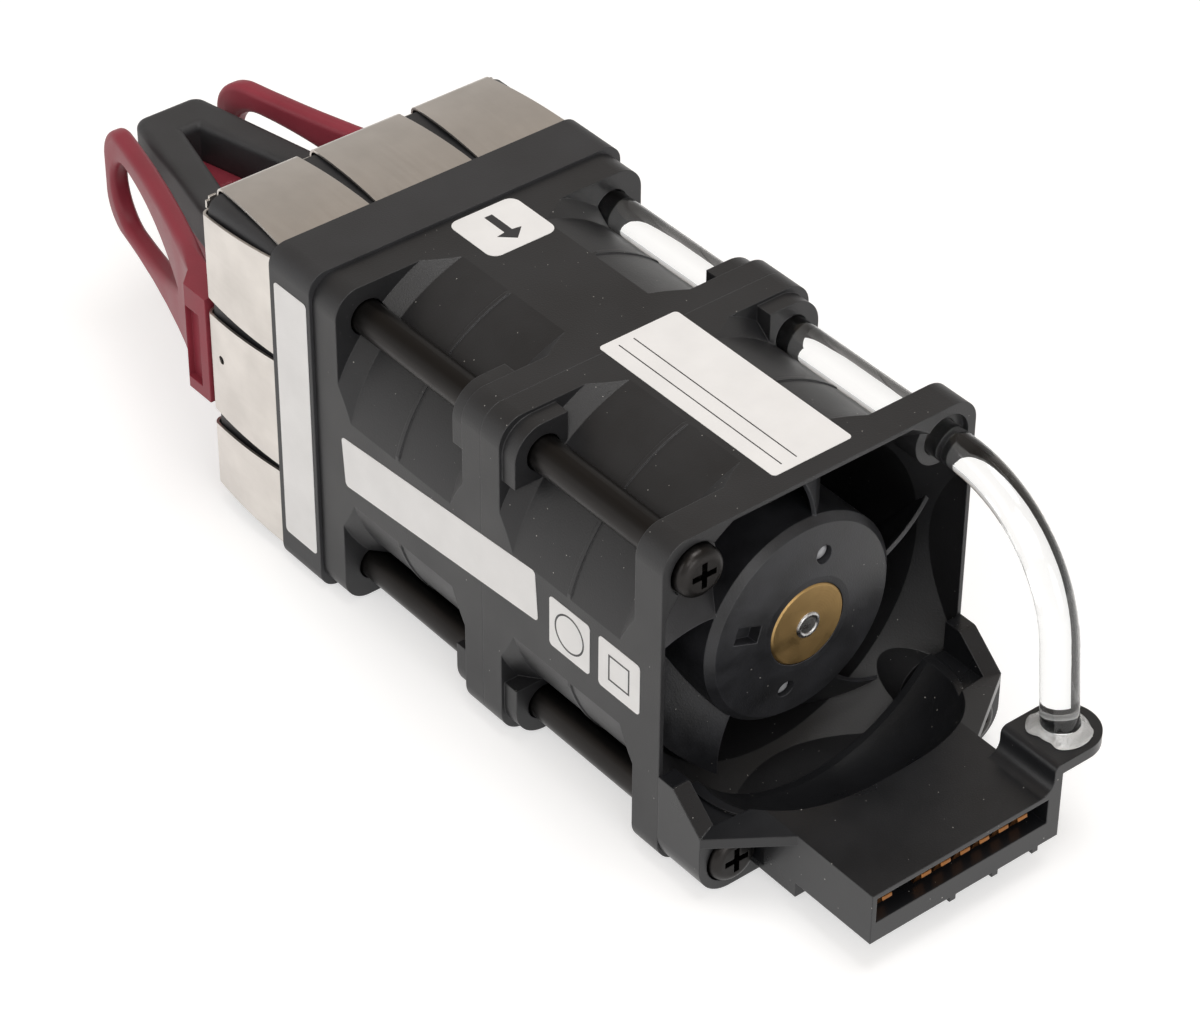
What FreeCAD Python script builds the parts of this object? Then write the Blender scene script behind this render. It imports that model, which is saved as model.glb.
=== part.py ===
# Hot-swap fan module: two counter-rotating axial fans in line, behind a front carrier with a handle and
# two squeeze levers, and with a connector bracket and a light pipe at the rear.
# Millimetres. +X is the side with the screws, -Y the handle end, +Z up. Y = 0 is the joint between the
# carrier and the fans, and Z = 0 is the floor that the module stands on.
import FreeCAD
import Part
import math
import os

V = FreeCAD.Vector

# Fan frames
fan_size = 40.0
fan_depth = 28.0
hole_inset = 4.0
frame_corner = 3.0
outer_flange = 4.0
inner_flange = 3.0
barrel_bulge = 0.7
bore_wall = 1.2
mouth_wall = 0.5
mouth_rise = 3.8
mouth_depth = 6.0
flare_length = 2.1
flare_rise = 1.3
ridge_width = 0.5
ridge_rise = 0.15
pad_outer = 3.6
pad_inner = 3.0
pad_thickness = 2.0
mouth_boss_radius = 3.2
screw_seat_depth = 0.8
strut_count = 5
strut_width = 1.8
strut_depth = 3.4
motor_base_thickness = 2.5

# Motors and impellers, measured inward from each fan's open face
hub_radius = 12.0
hub_wall = 0.9
hub_face_depth = 2.2
hub_face_thickness = 1.6
hub_chamfer = 0.8
hub_dome = 0.8
hub_base_gap = 1.0
yoke_thickness = 0.6
magnet_thickness = 1.1
boss_radius = 4.7
boss_proud = 0.9
boss_chamfer = 0.2
boss_thickness = 1.8
boss_spigot_radius = 2.6
boss_spigot_length = 2.6
shaft_radius = 1.5
bearing_radius = 3.0
bearing_width = 2.5
bearing_play = 0.03
tube_wall = 0.9
tube_start_depth = 8.4
clip_thickness = 0.4
clip_reach = 0.9
clip_end_gap = 0.35
clip_opening = 1.6
shaft_proud = 0.1
shaft_tail = 1.2
stator_poles = 4
stator_start_depth = 11.0
stator_length = 9.0
stator_air_gap = 0.6
stator_arm_width = 2.2
stator_shoe = 1.2
stator_ring = 1.3
shoe_angle = 70.0
coil_thickness = 1.3
board_thickness = 1.0
rotor_gap = 0.05
blade_count = 5
blade_tip_clearance = 0.5
blade_start_depth = 3.0
blade_root_length = 16.0
blade_tip_length = 12.0
blade_root_turn = 10.0
blade_tip_turn = 15.0
blade_sweep = 22.0
blade_camber = 1.5
blade_thickness = 1.3
blade_edge = 0.5
rear_blade_angle = 20.0
front_blade_angle = 60.0
balance_hole_radius = 1.0
balance_hole_orbit = 7.8
hub_recess_depth = 0.7
gate_length = 2.8
hub_mark_angle = -16.0

# Front carrier, grilles and shielding gasket
bezel_overhang = 0.4
bezel_depth = 7.0
bezel_corner = 2.2
carrier_depth = 20.0
carrier_corner = 1.5
bridge_height = 12.4
bridge_depth = 5.0
opening_wall = 0.9
opening_edge = 2.0
grille_thickness = 0.8
grille_seat = 0.6
grille_play = 0.15
grille_hole = 4.0
grille_pitch = 4.9
gasket_thickness = 0.3
gasket_bow = 0.6
gasket_bend = 0.8
gasket_frame = 2.6
gasket_play = 0.15
gasket_tail_gap = 0.2
finger_slot_front = 2.2
finger_slot_rear = 0.8
finger_corner_front = 2.0
finger_corner_rear = 0.7
top_slots = (-6.7, 6.7)
side_slots = (-8.6, 6.0)
finger_hole_radius = 0.5
finger_hole_depth = 2.5

# Handle, its insert and the release levers
handle_length = 37.5
handle_thickness = 5.0
handle_top = 4.0
handle_tip_half = 4.4
handle_root_half = 12.4
handle_bar = 5.4
handle_apex_half = 1.0
handle_arm = 3.2
handle_edge = 0.9
tenon_depth = 2.5
tenon_play = 0.1
insert_thickness = 4.0
insert_margin = 0.5
insert_arm = 2.8
insert_bar = 6.0
lever_thickness = 2.4
lever_height = 13.6
lever_drop = 0.8
lever_tip_gap = 2.1
lever_mid_gap = 2.6
lever_reach = 37.3
lever_nose = 4.5
lever_rail_top = 3.0
lever_rail_bottom = 1.9
lever_eye_start = 6.8
lever_eye_end = 24.5
lever_root_length = 6.0
lever_root_bevel = 1.0
window_rim = 1.4
window_depth = 0.8
catch_inset = 0.6
catch_gap = 0.3
pivot_depth = 8.0
pivot_radius = 1.7
pin_radius = 1.0
pin_play = 0.08
pin_seat_play = 0.02
pin_bite = 4.0
channel_play = 0.5
channel_wall = 1.5
shank_thickness = 2.2
leaf_thickness = 0.3
leaf_crown = 0.3
leaf_inset = 0.8

# Screws, connector bracket and light pipe
screw_radius = 1.9
screw_play = 0.2
thread_radius = 1.45
thread_length = 9.0
thread_play = 0.05
head_radius = 2.8
head_height = 2.2
head_round = 1.0
driver_slot = 0.7
driver_reach = 1.5
thread_end_gap = 1.0
driver_depth = 1.0
ear_depth = 6.4
ear_top = 8.2
ear_corner = 4.0
ear_seat_depth = 1.2
horn_height = 11.9
horn_flat = 2.2
horn_width = 2.1
horn_round = 0.7
deck_height = 9.8
deck_thickness = 1.2
wing_front = 7.7
block_left = 13.4
block_right = -10.3
block_floor = 3.6
block_reach = 24.0
taper_end = 13.2
scoop_start = 0.8
scoop_end = 12.2
scoop_bulge = 3.0
scoop_wall = 1.0
skirt_floor = 1.8
skirt_reach = 13.2
pan_half = 9.0
pan_floor = 0.5
pan_reach = 9.0
mouth_lip = 0.6
mouth_height = 3.1
socket_depth = 9.5
contact_pitch = 2.54
contact_margin = 2.4
contact_places = (0, 2, 3, 4, 5, 6, 7)
contact_width = 1.3
contact_thickness = 0.35
contact_play = 0.05
contact_bite = 1.1
contact_dip = 2.3
contact_bend = 1.6
contact_end = 0.7
rib_places = (2.6, -3.0, -8.4)
rib_width = 0.8
rib_height = 0.6
rib_length = 5.0
lug_height = 13.0
lug_thickness = 1.3
lug_width = 7.8
lug_overhang = 0.4
lug_wall = 1.1
lug_round = 0.8
lug_cove = 1.6
pipe_radius = 2.0
pipe_play = 0.12
pipe_bend = 16.5
pipe_turn = 80.5
pipe_foot_inset = 1.4

# Places worked out from the sizes above
fan_half = fan_size / 2
hole_offset = fan_half - hole_inset
barrel_radius = fan_half + barrel_bulge
bore_radius = fan_half - bore_wall
bezel_half = fan_half + bezel_overhang
carrier_half = bezel_half - gasket_thickness - gasket_bow
axis_z = bezel_half
fan_floor = axis_z - fan_half
stack_end = 2 * fan_depth
pipe_hole_radius = pipe_radius + pipe_play
screw_hole_radius = screw_radius + screw_play
blade_tip_radius = bore_radius - blade_tip_clearance
yoke_radius = hub_radius - hub_wall - rotor_gap
magnet_radius = yoke_radius - yoke_thickness - rotor_gap
stator_radius = magnet_radius - magnet_thickness - stator_air_gap
tube_radius = bearing_radius + tube_wall
base_face = fan_depth - motor_base_thickness
rim_depth = base_face - hub_base_gap
screw_places = ((hole_offset, hole_offset), (hole_offset, -hole_offset), (-hole_offset, -hole_offset))
pipe_place = (-hole_offset, hole_offset)
corner_places = screw_places + (pipe_place,)
channel_outer = carrier_half - channel_wall
pivot_x = channel_outer - channel_play - pivot_radius
channel_inner = pivot_x - pivot_radius - channel_play
opening_half = channel_inner - opening_wall
pivot_y = pivot_depth - carrier_depth
handle_z = axis_z + handle_top
lever_floor = axis_z - lever_drop - lever_height / 2
lever_top = lever_floor + lever_height
lever_tip = -carrier_depth - lever_reach
lever_back = -carrier_depth - gasket_thickness - catch_gap
catch_x = bezel_half - catch_inset
overrun = 1.0
hair = 0.01


def block(x_span, y_span, z_span):
    """A box from three (low, high) pairs."""
    low = V(x_span[0], y_span[0], z_span[0])
    return Part.makeBox(x_span[1] - low.x, y_span[1] - low.y, z_span[1] - low.z, low)


def rod(radius, y_span, x=0.0, rise=0.0):
    """A cylinder along Y, placed from the fan axis."""
    start = V(x, y_span[0], axis_z + rise)
    return Part.makeCylinder(radius, y_span[1] - y_span[0], start, V(0, 1, 0))


def tube(outer, inner, y_span, x=0.0, rise=0.0):
    """A round tube along Y, placed from the fan axis."""
    return rod(outer, y_span, x, rise).cut(rod(inner, y_span, x, rise))


def cone(start_radius, end_radius, y_span):
    """A cone frustum about the fan axis."""
    length = y_span[1] - y_span[0]
    return Part.makeCone(start_radius, end_radius, length, V(0, y_span[0], axis_z), V(0, 1, 0))


def post(radius, z_span, x, y):
    """A vertical cylinder."""
    return Part.makeCylinder(radius, z_span[1] - z_span[0], V(x, y, z_span[0]), V(0, 0, 1))


def edges_along(shape, axis):
    """The straight edges of a shape that run along one axis."""
    straight = [edge for edge in shape.Edges if isinstance(edge.Curve, Part.Line)]
    return [edge for edge in straight if abs(edge.Curve.Direction.dot(axis)) > 1 - hair]


def circles_at(shape, y):
    """The round edges of a shape that lie at one place along Y."""
    rounds = [edge for edge in shape.Edges if isinstance(edge.Curve, Part.Circle)]
    return [edge for edge in rounds if abs(edge.Curve.Center.y - y) < hair]


def square(half, radius, y_span):
    """A square bar about the fan axis with rounded corners."""
    bar = block((-half, half), y_span, (axis_z - half, axis_z + half))
    return bar.makeFillet(radius, edges_along(bar, V(0, 1, 0)))


def prism(points, travel):
    """A polygon pushed along a vector."""
    return Part.Face(Part.makePolygon(points + points[:1])).extrude(travel)


def plan_prism(outline, z_span):
    """An outline of (x, y) corners raised between two heights."""
    return prism([V(x, y, z_span[0]) for x, y in outline], V(0, 0, z_span[1] - z_span[0]))


def side_prism(outline, x_span):
    """An outline of (y, z) corners pushed across X."""
    return prism([V(x_span[0], y, z) for y, z in outline], V(x_span[1] - x_span[0], 0, 0))


def fuse(shapes):
    """One solid from several that share volume."""
    return shapes[0].multiFuse(shapes[1:]).removeSplitter()


def turned_by(shape, angle):
    """A copy turned about the fan axis."""
    copy = shape.copy()
    copy.rotate(V(0, 0, axis_z), V(0, 1, 0), angle)
    return copy


def mirrored_fan(shape):
    """The same piece of the rear fan, which faces the other way."""
    return shape.mirror(V(0, fan_depth, 0), V(0, 1, 0))


def mirrored_side(shape):
    """The same piece on the -X side."""
    return shape.mirror(V(0, 0, 0), V(1, 0, 0))


def export(node, shape):
    """Write one named piece."""
    shape.exportStep("parts/" + node + ".step")


def corner_pads(y_span):
    """Four rounded pads round the corner holes, just inside the flange edge."""
    inner = hole_offset - pad_inner
    high, low = axis_z + fan_half, axis_z - fan_half
    pads = square(hole_offset + pad_outer, pad_outer, y_span)
    pads = pads.cut(block((-inner, inner), y_span, (low, high)))
    return pads.cut(block((-fan_half, fan_half), y_span, (axis_z - inner, axis_z + inner))).Solids


def fan_housing():
    """Moulded frame of the front fan: flanges, ridged barrel, corner pads, mouth, struts and motor base."""
    inner_start = fan_depth - inner_flange
    envelope = square(fan_half, frame_corner, (0, fan_depth))
    flared = barrel_radius + flare_rise
    outside = fuse([
        rod(barrel_radius, (0, fan_depth)),
        cone(flared, barrel_radius, (outer_flange, outer_flange + flare_length)),
        cone(barrel_radius, flared, (inner_start - flare_length, inner_start)),
        rod(barrel_radius + ridge_rise, ((fan_depth - ridge_width) / 2, (fan_depth + ridge_width) / 2)),
    ]).common(envelope)
    solids = [outside, square(fan_half, frame_corner, (0, outer_flange))]
    solids.append(square(fan_half, frame_corner, (inner_start, fan_depth)))
    frame = fuse(solids + corner_pads((inner_start - pad_thickness, inner_start)))
    mouth = cone(bore_radius + mouth_rise, bore_radius, (0, mouth_depth))
    mouth = mouth.common(square(fan_half - mouth_wall, frame_corner, (0, mouth_depth)))
    for x, rise in corner_places:
        mouth = mouth.cut(rod(mouth_boss_radius, (screw_seat_depth, mouth_depth), x, rise))
    frame = frame.cut(fuse([mouth, rod(bore_radius, (0, fan_depth))]))
    base = [rod(hub_radius, (base_face, fan_depth))]
    for index in range(strut_count):
        strut = block((-strut_width / 2, strut_width / 2), (fan_depth - strut_depth, fan_depth),
                      (axis_z + hub_radius / 2, axis_z + bore_radius + bore_wall / 2))
        base.append(turned_by(strut, index * 360 / strut_count))
    spider = fuse(base).cut(rod(hub_radius, (0, base_face)))
    frame = fuse([frame, spider]).cut(rod(tube_radius, (0, fan_depth)))
    for x, rise in corner_places:
        frame = frame.cut(rod(screw_hole_radius, (0, fan_depth), x, rise))
        frame = frame.cut(rod(head_radius + screw_play, (0, screw_seat_depth), x, rise))
    return frame.removeSplitter()


def blade_section(radius, length, turn, sweep):
    """Closed cambered section of a blade on the plane that touches a given radius, swept round the axis."""
    lead = V(radius, blade_start_depth, -turn / 2)
    trail = V(radius, blade_start_depth + length, turn / 2)
    chord = (trail - lead).normalize()
    normal = V(0, -chord.z, chord.y)
    middle = (lead + trail) * 0.5 + normal * blade_camber
    rim = normal * (blade_edge / 2)
    skin = normal * (blade_thickness / 2)
    upper = Part.Arc(lead + rim, middle + skin, trail + rim).toShape()
    lower = Part.Arc(trail - rim, middle - skin, lead - rim).toShape()
    ends = [Part.makeLine(trail + rim, trail - rim), Part.makeLine(lead - rim, lead + rim)]
    section = Part.Wire([upper, ends[0], lower, ends[1]])
    section.rotate(V(0, 0, 0), V(0, 1, 0), sweep)
    return section


def impeller(angle):
    """Hub cup with a low dome, twisted swept blades, balance holes and a shallow gate recess."""
    face = hub_face_depth
    hub = rod(hub_radius, (face, rim_depth))
    hub = hub.makeChamfer(hub_chamfer, circles_at(hub, face))
    dome = cone(boss_radius + hub_dome, hub_radius - hub_chamfer, (face - hub_dome, face))
    hollow = rod(hub_radius - hub_wall, (face + hub_face_thickness, rim_depth))
    root = hub_radius - hub_wall / 2
    middle = (hub_radius + blade_tip_radius) / 2
    mid_length = (blade_root_length + blade_tip_length) / 2
    mid_turn = (blade_root_turn + blade_tip_turn) / 2
    blade = Part.makeLoft([
        blade_section(root - overrun, blade_root_length, blade_root_turn, 0),
        blade_section(middle, mid_length, mid_turn, blade_sweep / 2),
        blade_section(blade_tip_radius + overrun, blade_tip_length, blade_tip_turn, blade_sweep),
    ], True, False)
    blade.translate(V(0, 0, axis_z))
    blade = blade.common(tube(blade_tip_radius, root, (0, fan_depth)))
    blades = [turned_by(blade, angle + index * 360 / blade_count) for index in range(blade_count)]
    wheel = fuse([hub, dome] + blades).cut(hollow).cut(rod(boss_radius + rotor_gap, (0, fan_depth)))
    for side in (-1, 1):
        hole = rod(balance_hole_radius, (0, face + hub_recess_depth), 0, side * balance_hole_orbit)
        wheel = wheel.cut(turned_by(hole, hub_mark_angle))
    gate = block((balance_hole_orbit - gate_length / 2, balance_hole_orbit + gate_length / 2),
                 (0, face + hub_recess_depth), (axis_z - balance_hole_radius, axis_z + balance_hole_radius))
    return wheel.cut(turned_by(gate, hub_mark_angle))


def rotor_yoke():
    """Steel tube that lines the hub."""
    return tube(yoke_radius, yoke_radius - yoke_thickness, (hub_face_depth + hub_face_thickness, rim_depth))


def ring_magnet():
    """Ring magnet inside the yoke, as long as the stator with a margin."""
    span = (stator_start_depth - coil_thickness, stator_start_depth + stator_length + coil_thickness)
    return tube(magnet_radius, magnet_radius - magnet_thickness, span)


def shaft_boss():
    """Brass boss that joins the hub face to the shaft, standing proud of the face."""
    seat = hub_face_depth + boss_thickness
    flange = rod(boss_radius, (hub_face_depth - boss_proud, seat))
    flange = flange.makeChamfer(boss_chamfer, circles_at(flange, hub_face_depth - boss_proud))
    spigot = rod(boss_spigot_radius, (seat, seat + boss_spigot_length))
    return fuse([flange, spigot]).cut(rod(shaft_radius, (0, fan_depth)))


def clip_span():
    """First and last depth of the retaining clip, just past the inner bearing."""
    return (base_face, base_face + clip_thickness)


def rotor_shaft():
    """Shaft with a groove for its clip, ending just proud of the boss."""
    shaft = rod(shaft_radius, (hub_face_depth - boss_proud - shaft_proud, base_face + shaft_tail))
    return shaft.cut(tube(shaft_radius, shaft_radius - clip_thickness, clip_span()))


def shaft_clip():
    """Open ring that sits in the shaft groove."""
    ring = tube(shaft_radius + clip_reach, shaft_radius - clip_thickness, clip_span())
    gap = block((-clip_opening / 2, clip_opening / 2), clip_span(), (axis_z, axis_z + bearing_radius))
    return ring.cut(gap)


def bearing(depth):
    """Shielded ball bearing as one ring, running on the shaft."""
    return tube(bearing_radius, shaft_radius + bearing_play, (depth, depth + bearing_width))


def bearing_depths():
    """Depths of the outer and the inner bearing."""
    return (tube_start_depth, base_face - bearing_width - clip_end_gap)


def bearing_tube():
    """Brass tube that holds both bearings and carries the stator."""
    return tube(tube_radius, bearing_radius, (tube_start_depth, fan_depth))


def stator_span():
    """First and last depth of the stator core."""
    return (stator_start_depth, stator_start_depth + stator_length)


def stator_arm(width, inner, outer, span, index):
    """One straight arm of the stator, turned to its place."""
    arm = block((-width / 2, width / 2), span, (axis_z + inner, axis_z + outer))
    return turned_by(arm, (index + 0.5) * 360 / stator_poles)


def stator_core():
    """Laminated core with one shoe on each arm."""
    span = stator_span()
    pieces = [rod(tube_radius + stator_ring, span)]
    shoe_ring = tube(stator_radius, stator_radius - stator_shoe, span)
    half = math.radians(shoe_angle / 2)
    side, rise = 2 * stator_radius * math.sin(half), 2 * stator_radius * math.cos(half)
    corners = [V(0, span[0], axis_z), V(side, span[0], axis_z + rise), V(-side, span[0], axis_z + rise)]
    shoe = shoe_ring.common(prism(corners, V(0, stator_length, 0)))
    arm_end = stator_radius - stator_shoe / 2
    for index in range(stator_poles):
        pieces.append(turned_by(shoe, (index + 0.5) * 360 / stator_poles))
        pieces.append(stator_arm(stator_arm_width, tube_radius, arm_end, span, index))
    return fuse(pieces).cut(rod(tube_radius, span))


def stator_windings():
    """One coil on each arm of the core."""
    span = stator_span()
    wide = (span[0] - coil_thickness, span[1] + coil_thickness)
    half = stator_arm_width / 2 + coil_thickness
    inner = tube_radius + stator_ring + rotor_gap
    outer = math.sqrt((stator_radius - stator_shoe) ** 2 - half ** 2) - rotor_gap
    coils = []
    for index in range(stator_poles):
        coil = stator_arm(2 * half, inner, outer, wide, index)
        coils.append(coil.cut(stator_arm(stator_arm_width, 0, stator_radius, span, index)))
    return Part.makeCompound(coils)


def motor_board():
    """Round circuit board on the motor base."""
    span = (base_face - board_thickness, base_face)
    return tube(magnet_radius - magnet_thickness, tube_radius + rotor_gap, span)


def opening_shape(grow, y_span):
    """Air opening of the carrier above and below its bridge, grown by a margin."""
    half = opening_half + grow
    hole = rod(bore_radius - opening_edge + grow, y_span)
    return hole.common(block((-half, half), y_span, (axis_z - fan_half, axis_z + fan_half)))


def bridge(grow):
    """Bar across the carrier opening that the handle is fixed to."""
    half = bridge_height / 2 - grow
    y_span = (-carrier_depth, bridge_depth - carrier_depth)
    return block((-fan_half, fan_half), y_span, (axis_z - half, axis_z + half))


def lever_channels():
    """Side pockets of the carrier that take the lever shanks."""
    pocket = block((channel_inner, channel_outer), (-carrier_depth, pivot_y + pivot_radius + channel_play),
                   (lever_floor - channel_play, lever_top + channel_play))
    return [pocket, mirrored_side(pocket)]


def pin_span():
    """Lowest and highest point of a lever pin."""
    return (lever_floor - channel_play - pin_bite, lever_top + channel_play + pin_bite)


def front_carrier():
    """Moulded carrier: proud rim, gasket seat, air opening, bridge, lever pockets and screw holes."""
    nose = square(carrier_half, carrier_corner, (-carrier_depth, -bezel_depth))
    rim = [edge for edge in nose.Edges if edge.BoundBox.YMax < gasket_bend - carrier_depth]
    body = fuse([square(bezel_half, bezel_corner, (-bezel_depth, 0)), nose.makeChamfer(gasket_bend, rim)])
    front = (-carrier_depth, grille_thickness - carrier_depth)
    seat = opening_shape(grille_seat, front).cut(bridge(grille_seat))
    body = body.cut(opening_shape(0, (-carrier_depth, 0)).cut(bridge(0))).cut(seat)
    for pocket in lever_channels():
        body = body.cut(pocket)
    pin_hole = (pin_span()[0], axis_z + carrier_half)
    for side in (-1, 1):
        body = body.cut(post(pin_radius + pin_seat_play, pin_hole, side * pivot_x, pivot_y))
    for x, rise in screw_places:
        body = body.cut(rod(thread_radius + thread_play, (-thread_length - thread_end_gap, 0), x, rise))
    body = body.cut(rod(pipe_hole_radius, (-carrier_depth, 0), *pipe_place))
    for tenon in handle_tenons(tenon_play) + insert_tenons(tenon_play):
        body = body.cut(tenon)
    return body


def hexagon(x, rise, y_span):
    """One hexagonal hole of a grille."""
    radius = grille_hole / math.sqrt(3)
    turns = [math.radians(60 * index) for index in range(6)]
    corners = [V(x + radius * math.sin(t), y_span[0], axis_z + rise + radius * math.cos(t)) for t in turns]
    return prism(corners, V(0, y_span[1] - y_span[0], 0))


def grille(side):
    """Perforated plate above (1) or below (-1) the bridge, with a staggered pattern of hexagons."""
    y_span = (-carrier_depth, grille_thickness - carrier_depth)
    plate = opening_shape(grille_seat - grille_play, y_span).cut(bridge(grille_seat - grille_play))
    plate = plate.common(block((-fan_size, fan_size), y_span, (axis_z, axis_z + fan_size)))
    row_step = grille_pitch * math.sqrt(3) / 2
    first_row = bridge_height / 2 + row_step / 2
    rows = int((bore_radius - first_row) // row_step) + 1
    columns = int(opening_half // grille_pitch) + 1
    holes = []
    for row in range(rows):
        rise = first_row + row * row_step
        for column in range(-columns, columns + 1):
            x = (column + (row % 2) / 2) * grille_pitch
            inside = math.hypot(x, rise) + grille_hole / 2 < bore_radius - opening_edge
            if inside and abs(x) + grille_hole / 2 < opening_half:
                holes.append(hexagon(x, rise, y_span))
    plate = plate.cut(Part.makeCompound(holes))
    return plate if side > 0 else plate.mirror(V(0, 0, axis_z), V(0, 0, 1))


def finger_strip():
    """One side of the gasket: front frame strip, bend and bowed finger sheet, along the top."""
    front, back = -carrier_depth - gasket_thickness, -carrier_depth
    tail = -bezel_depth - gasket_tail_gap
    seat = axis_z + carrier_half + gasket_play
    crown_y = (back + tail) / 2
    inner_frame = axis_z + bezel_half - gasket_frame
    skin = gasket_thickness
    half = carrier_half - finger_corner_rear + gasket_thickness

    def at(y, z):
        return V(-half, y, z)

    low_start, low_end = at(back + gasket_bend, seat), at(tail, seat)
    low_crown = at(crown_y, seat + gasket_bow - skin)
    high_start, high_crown = at(back + gasket_bend, seat + skin), at(crown_y, seat + gasket_bow)
    high_end = at(tail, seat + skin)
    turn = math.sqrt(0.5)
    inner_turn = at(back + gasket_bend * (1 - turn), seat - gasket_bend * (1 - turn))
    outer_turn = at(back + gasket_bend - (gasket_bend + skin) * turn,
                    seat - gasket_bend + (gasket_bend + skin) * turn)
    edges = [
        Part.makeLine(at(front, inner_frame), at(front, seat - gasket_bend)),
        Part.Arc(at(front, seat - gasket_bend), outer_turn, high_start).toShape(),
        Part.Arc(high_start, high_crown, high_end).toShape(),
        Part.makeLine(high_end, low_end),
        Part.Arc(low_end, low_crown, low_start).toShape(),
        Part.Arc(low_start, inner_turn, at(back, seat - gasket_bend)).toShape(),
        Part.makeLine(at(back, seat - gasket_bend), at(back, inner_frame)),
        Part.makeLine(at(back, inner_frame), at(front, inner_frame)),
    ]
    return Part.Face(Part.Wire(edges)).extrude(V(2 * half, 0, 0))


def finger_cuts(slots):
    """Tapered slots between the fingers and the open wedges at the corners, along the top."""
    front, tail = -carrier_depth - overrun, -bezel_depth
    z_span = (axis_z + carrier_half - gasket_bend, axis_z + bezel_half + overrun)
    wide, thin = finger_slot_front / 2, finger_slot_rear / 2
    near, far, out = carrier_half - finger_corner_front, carrier_half - finger_corner_rear, 2 * bezel_half
    cuts = []
    for place in slots:
        outline = [(place - wide, front), (place + wide, front), (place + thin, tail), (place - thin, tail)]
        cuts.append(plan_prism(outline, z_span))
    for side in (-1, 1):
        outline = [(side * near, front), (side * out, front), (side * out, tail), (side * far, tail)]
        cuts.append(plan_prism(outline, z_span))
    return cuts


def emi_gasket():
    """One-piece folded sheet: a front frame with three bowed fingers on each side."""
    top, side = finger_strip(), finger_strip()
    for cut in finger_cuts(top_slots):
        top = top.cut(cut)
    for cut in finger_cuts([-place for place in side_slots]):
        side = side.cut(cut)
    hole_y = finger_hole_depth - carrier_depth
    side = side.cut(post(finger_hole_radius, (axis_z, axis_z + fan_size), 0, hole_y))
    side = turned_by(side, 90)
    sheet = fuse([top, turned_by(top, 180), side, mirrored_side(side)])
    through = (-carrier_depth - overrun, -carrier_depth)
    notch = block((channel_inner, channel_outer + gasket_play), through,
                  (lever_floor - 2 * channel_play, lever_top + 2 * channel_play))
    sheet = sheet.cut(notch).cut(mirrored_side(notch))
    return sheet.cut(rod(pipe_hole_radius + gasket_play, through, *pipe_place))


def handle_outline(margin):
    """Plan corners of the handle bail, shrunk by a margin."""
    tip, root = margin - carrier_depth - handle_length, -carrier_depth
    return [(margin - handle_root_half, root), (margin - handle_tip_half, tip),
            (handle_tip_half - margin, tip), (handle_root_half - margin, root)]


def handle_hole(bar, root_half):
    """Plan corners of a finger hole that starts behind the end bar and widens to the root."""
    apex, root = bar - carrier_depth - handle_length, -carrier_depth
    return [(-root_half, root), (-handle_apex_half, apex), (handle_apex_half, apex), (root_half, root)]


def bail_tenons(half_outer, arm, z_span, play):
    """Tongues of the two arms that enter the bridge."""
    x_span = (half_outer - arm - play, half_outer + play)
    y_span = (-carrier_depth - play, tenon_depth + play - carrier_depth)
    tongue = block(x_span, y_span, (z_span[0] - play, z_span[1] + play))
    return [tongue, mirrored_side(tongue)]


def handle_tenons(play):
    """Tongues of the handle."""
    return bail_tenons(handle_root_half - handle_edge, handle_arm - 2 * handle_edge,
                       (handle_z - handle_thickness + handle_edge, handle_z - handle_edge), play)


def insert_tenons(play):
    """Tongues of the insert."""
    top = handle_z - handle_thickness
    return bail_tenons(handle_root_half - 2 * insert_margin, handle_arm,
                       (top - insert_thickness + insert_margin, top - insert_margin), play)


def handle():
    """Fixed A-shaped bail with rounded edges."""
    z_span = (handle_z - handle_thickness, handle_z)
    bail = plan_prism(handle_outline(0), z_span)
    upright = edges_along(bail, V(0, 0, 1))
    tips = [edge for edge in upright if edge.CenterOfMass.y < -carrier_depth - overrun]
    bail = bail.makeFillet(2 * handle_edge, tips)
    bail = bail.cut(plan_prism(handle_hole(handle_bar, handle_root_half - handle_arm), z_span))
    rounded = [edge for edge in bail.Edges
               if edge.BoundBox.ZMin > handle_z - hair and edge.CenterOfMass.y < -carrier_depth - hair]
    bail = bail.makeFillet(handle_edge, rounded)
    return fuse([bail] + handle_tenons(0))


def handle_insert():
    """Coloured stiffener under the bail, seen through its finger hole."""
    top = handle_z - handle_thickness
    z_span = (top - insert_thickness, top)
    frame = plan_prism(handle_outline(insert_margin), z_span)
    hole = handle_hole(handle_bar + insert_bar, handle_root_half - handle_arm - insert_arm)
    return fuse([frame.cut(plan_prism(hole, z_span))] + insert_tenons(0))


def lever_arc():
    """Inner plan arc of the left grip, from its tip past its middle to its root."""
    slope = (handle_root_half - handle_tip_half) / handle_length
    middle_y = -carrier_depth - lever_reach / 2
    middle_x = handle_tip_half + slope * (handle_length - lever_reach / 2) + lever_mid_gap
    root = V(pivot_x + shank_thickness / 2, lever_back - lever_root_length / 3, 0)
    tip = V(handle_tip_half + lever_tip_gap, lever_tip, 0)
    return Part.Arc(tip, V(middle_x, middle_y, 0), root).toShape().Curve


def lever_grip():
    """Curved wall of the grip, concave to the outside for a finger, with a rounded nose."""
    arc = lever_arc()
    z_span = (lever_floor, lever_top)
    ring = post(arc.Radius, z_span, arc.Center.x, arc.Center.y)
    ring = ring.cut(post(arc.Radius - lever_thickness, z_span, arc.Center.x, arc.Center.y))
    side_view = block((0, catch_x), (lever_tip, lever_back), z_span)
    nose = [edge for edge in edges_along(side_view, V(1, 0, 0)) if edge.CenterOfMass.y < lever_tip + hair]
    return ring.common(side_view.makeFillet(lever_nose, nose))


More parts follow.
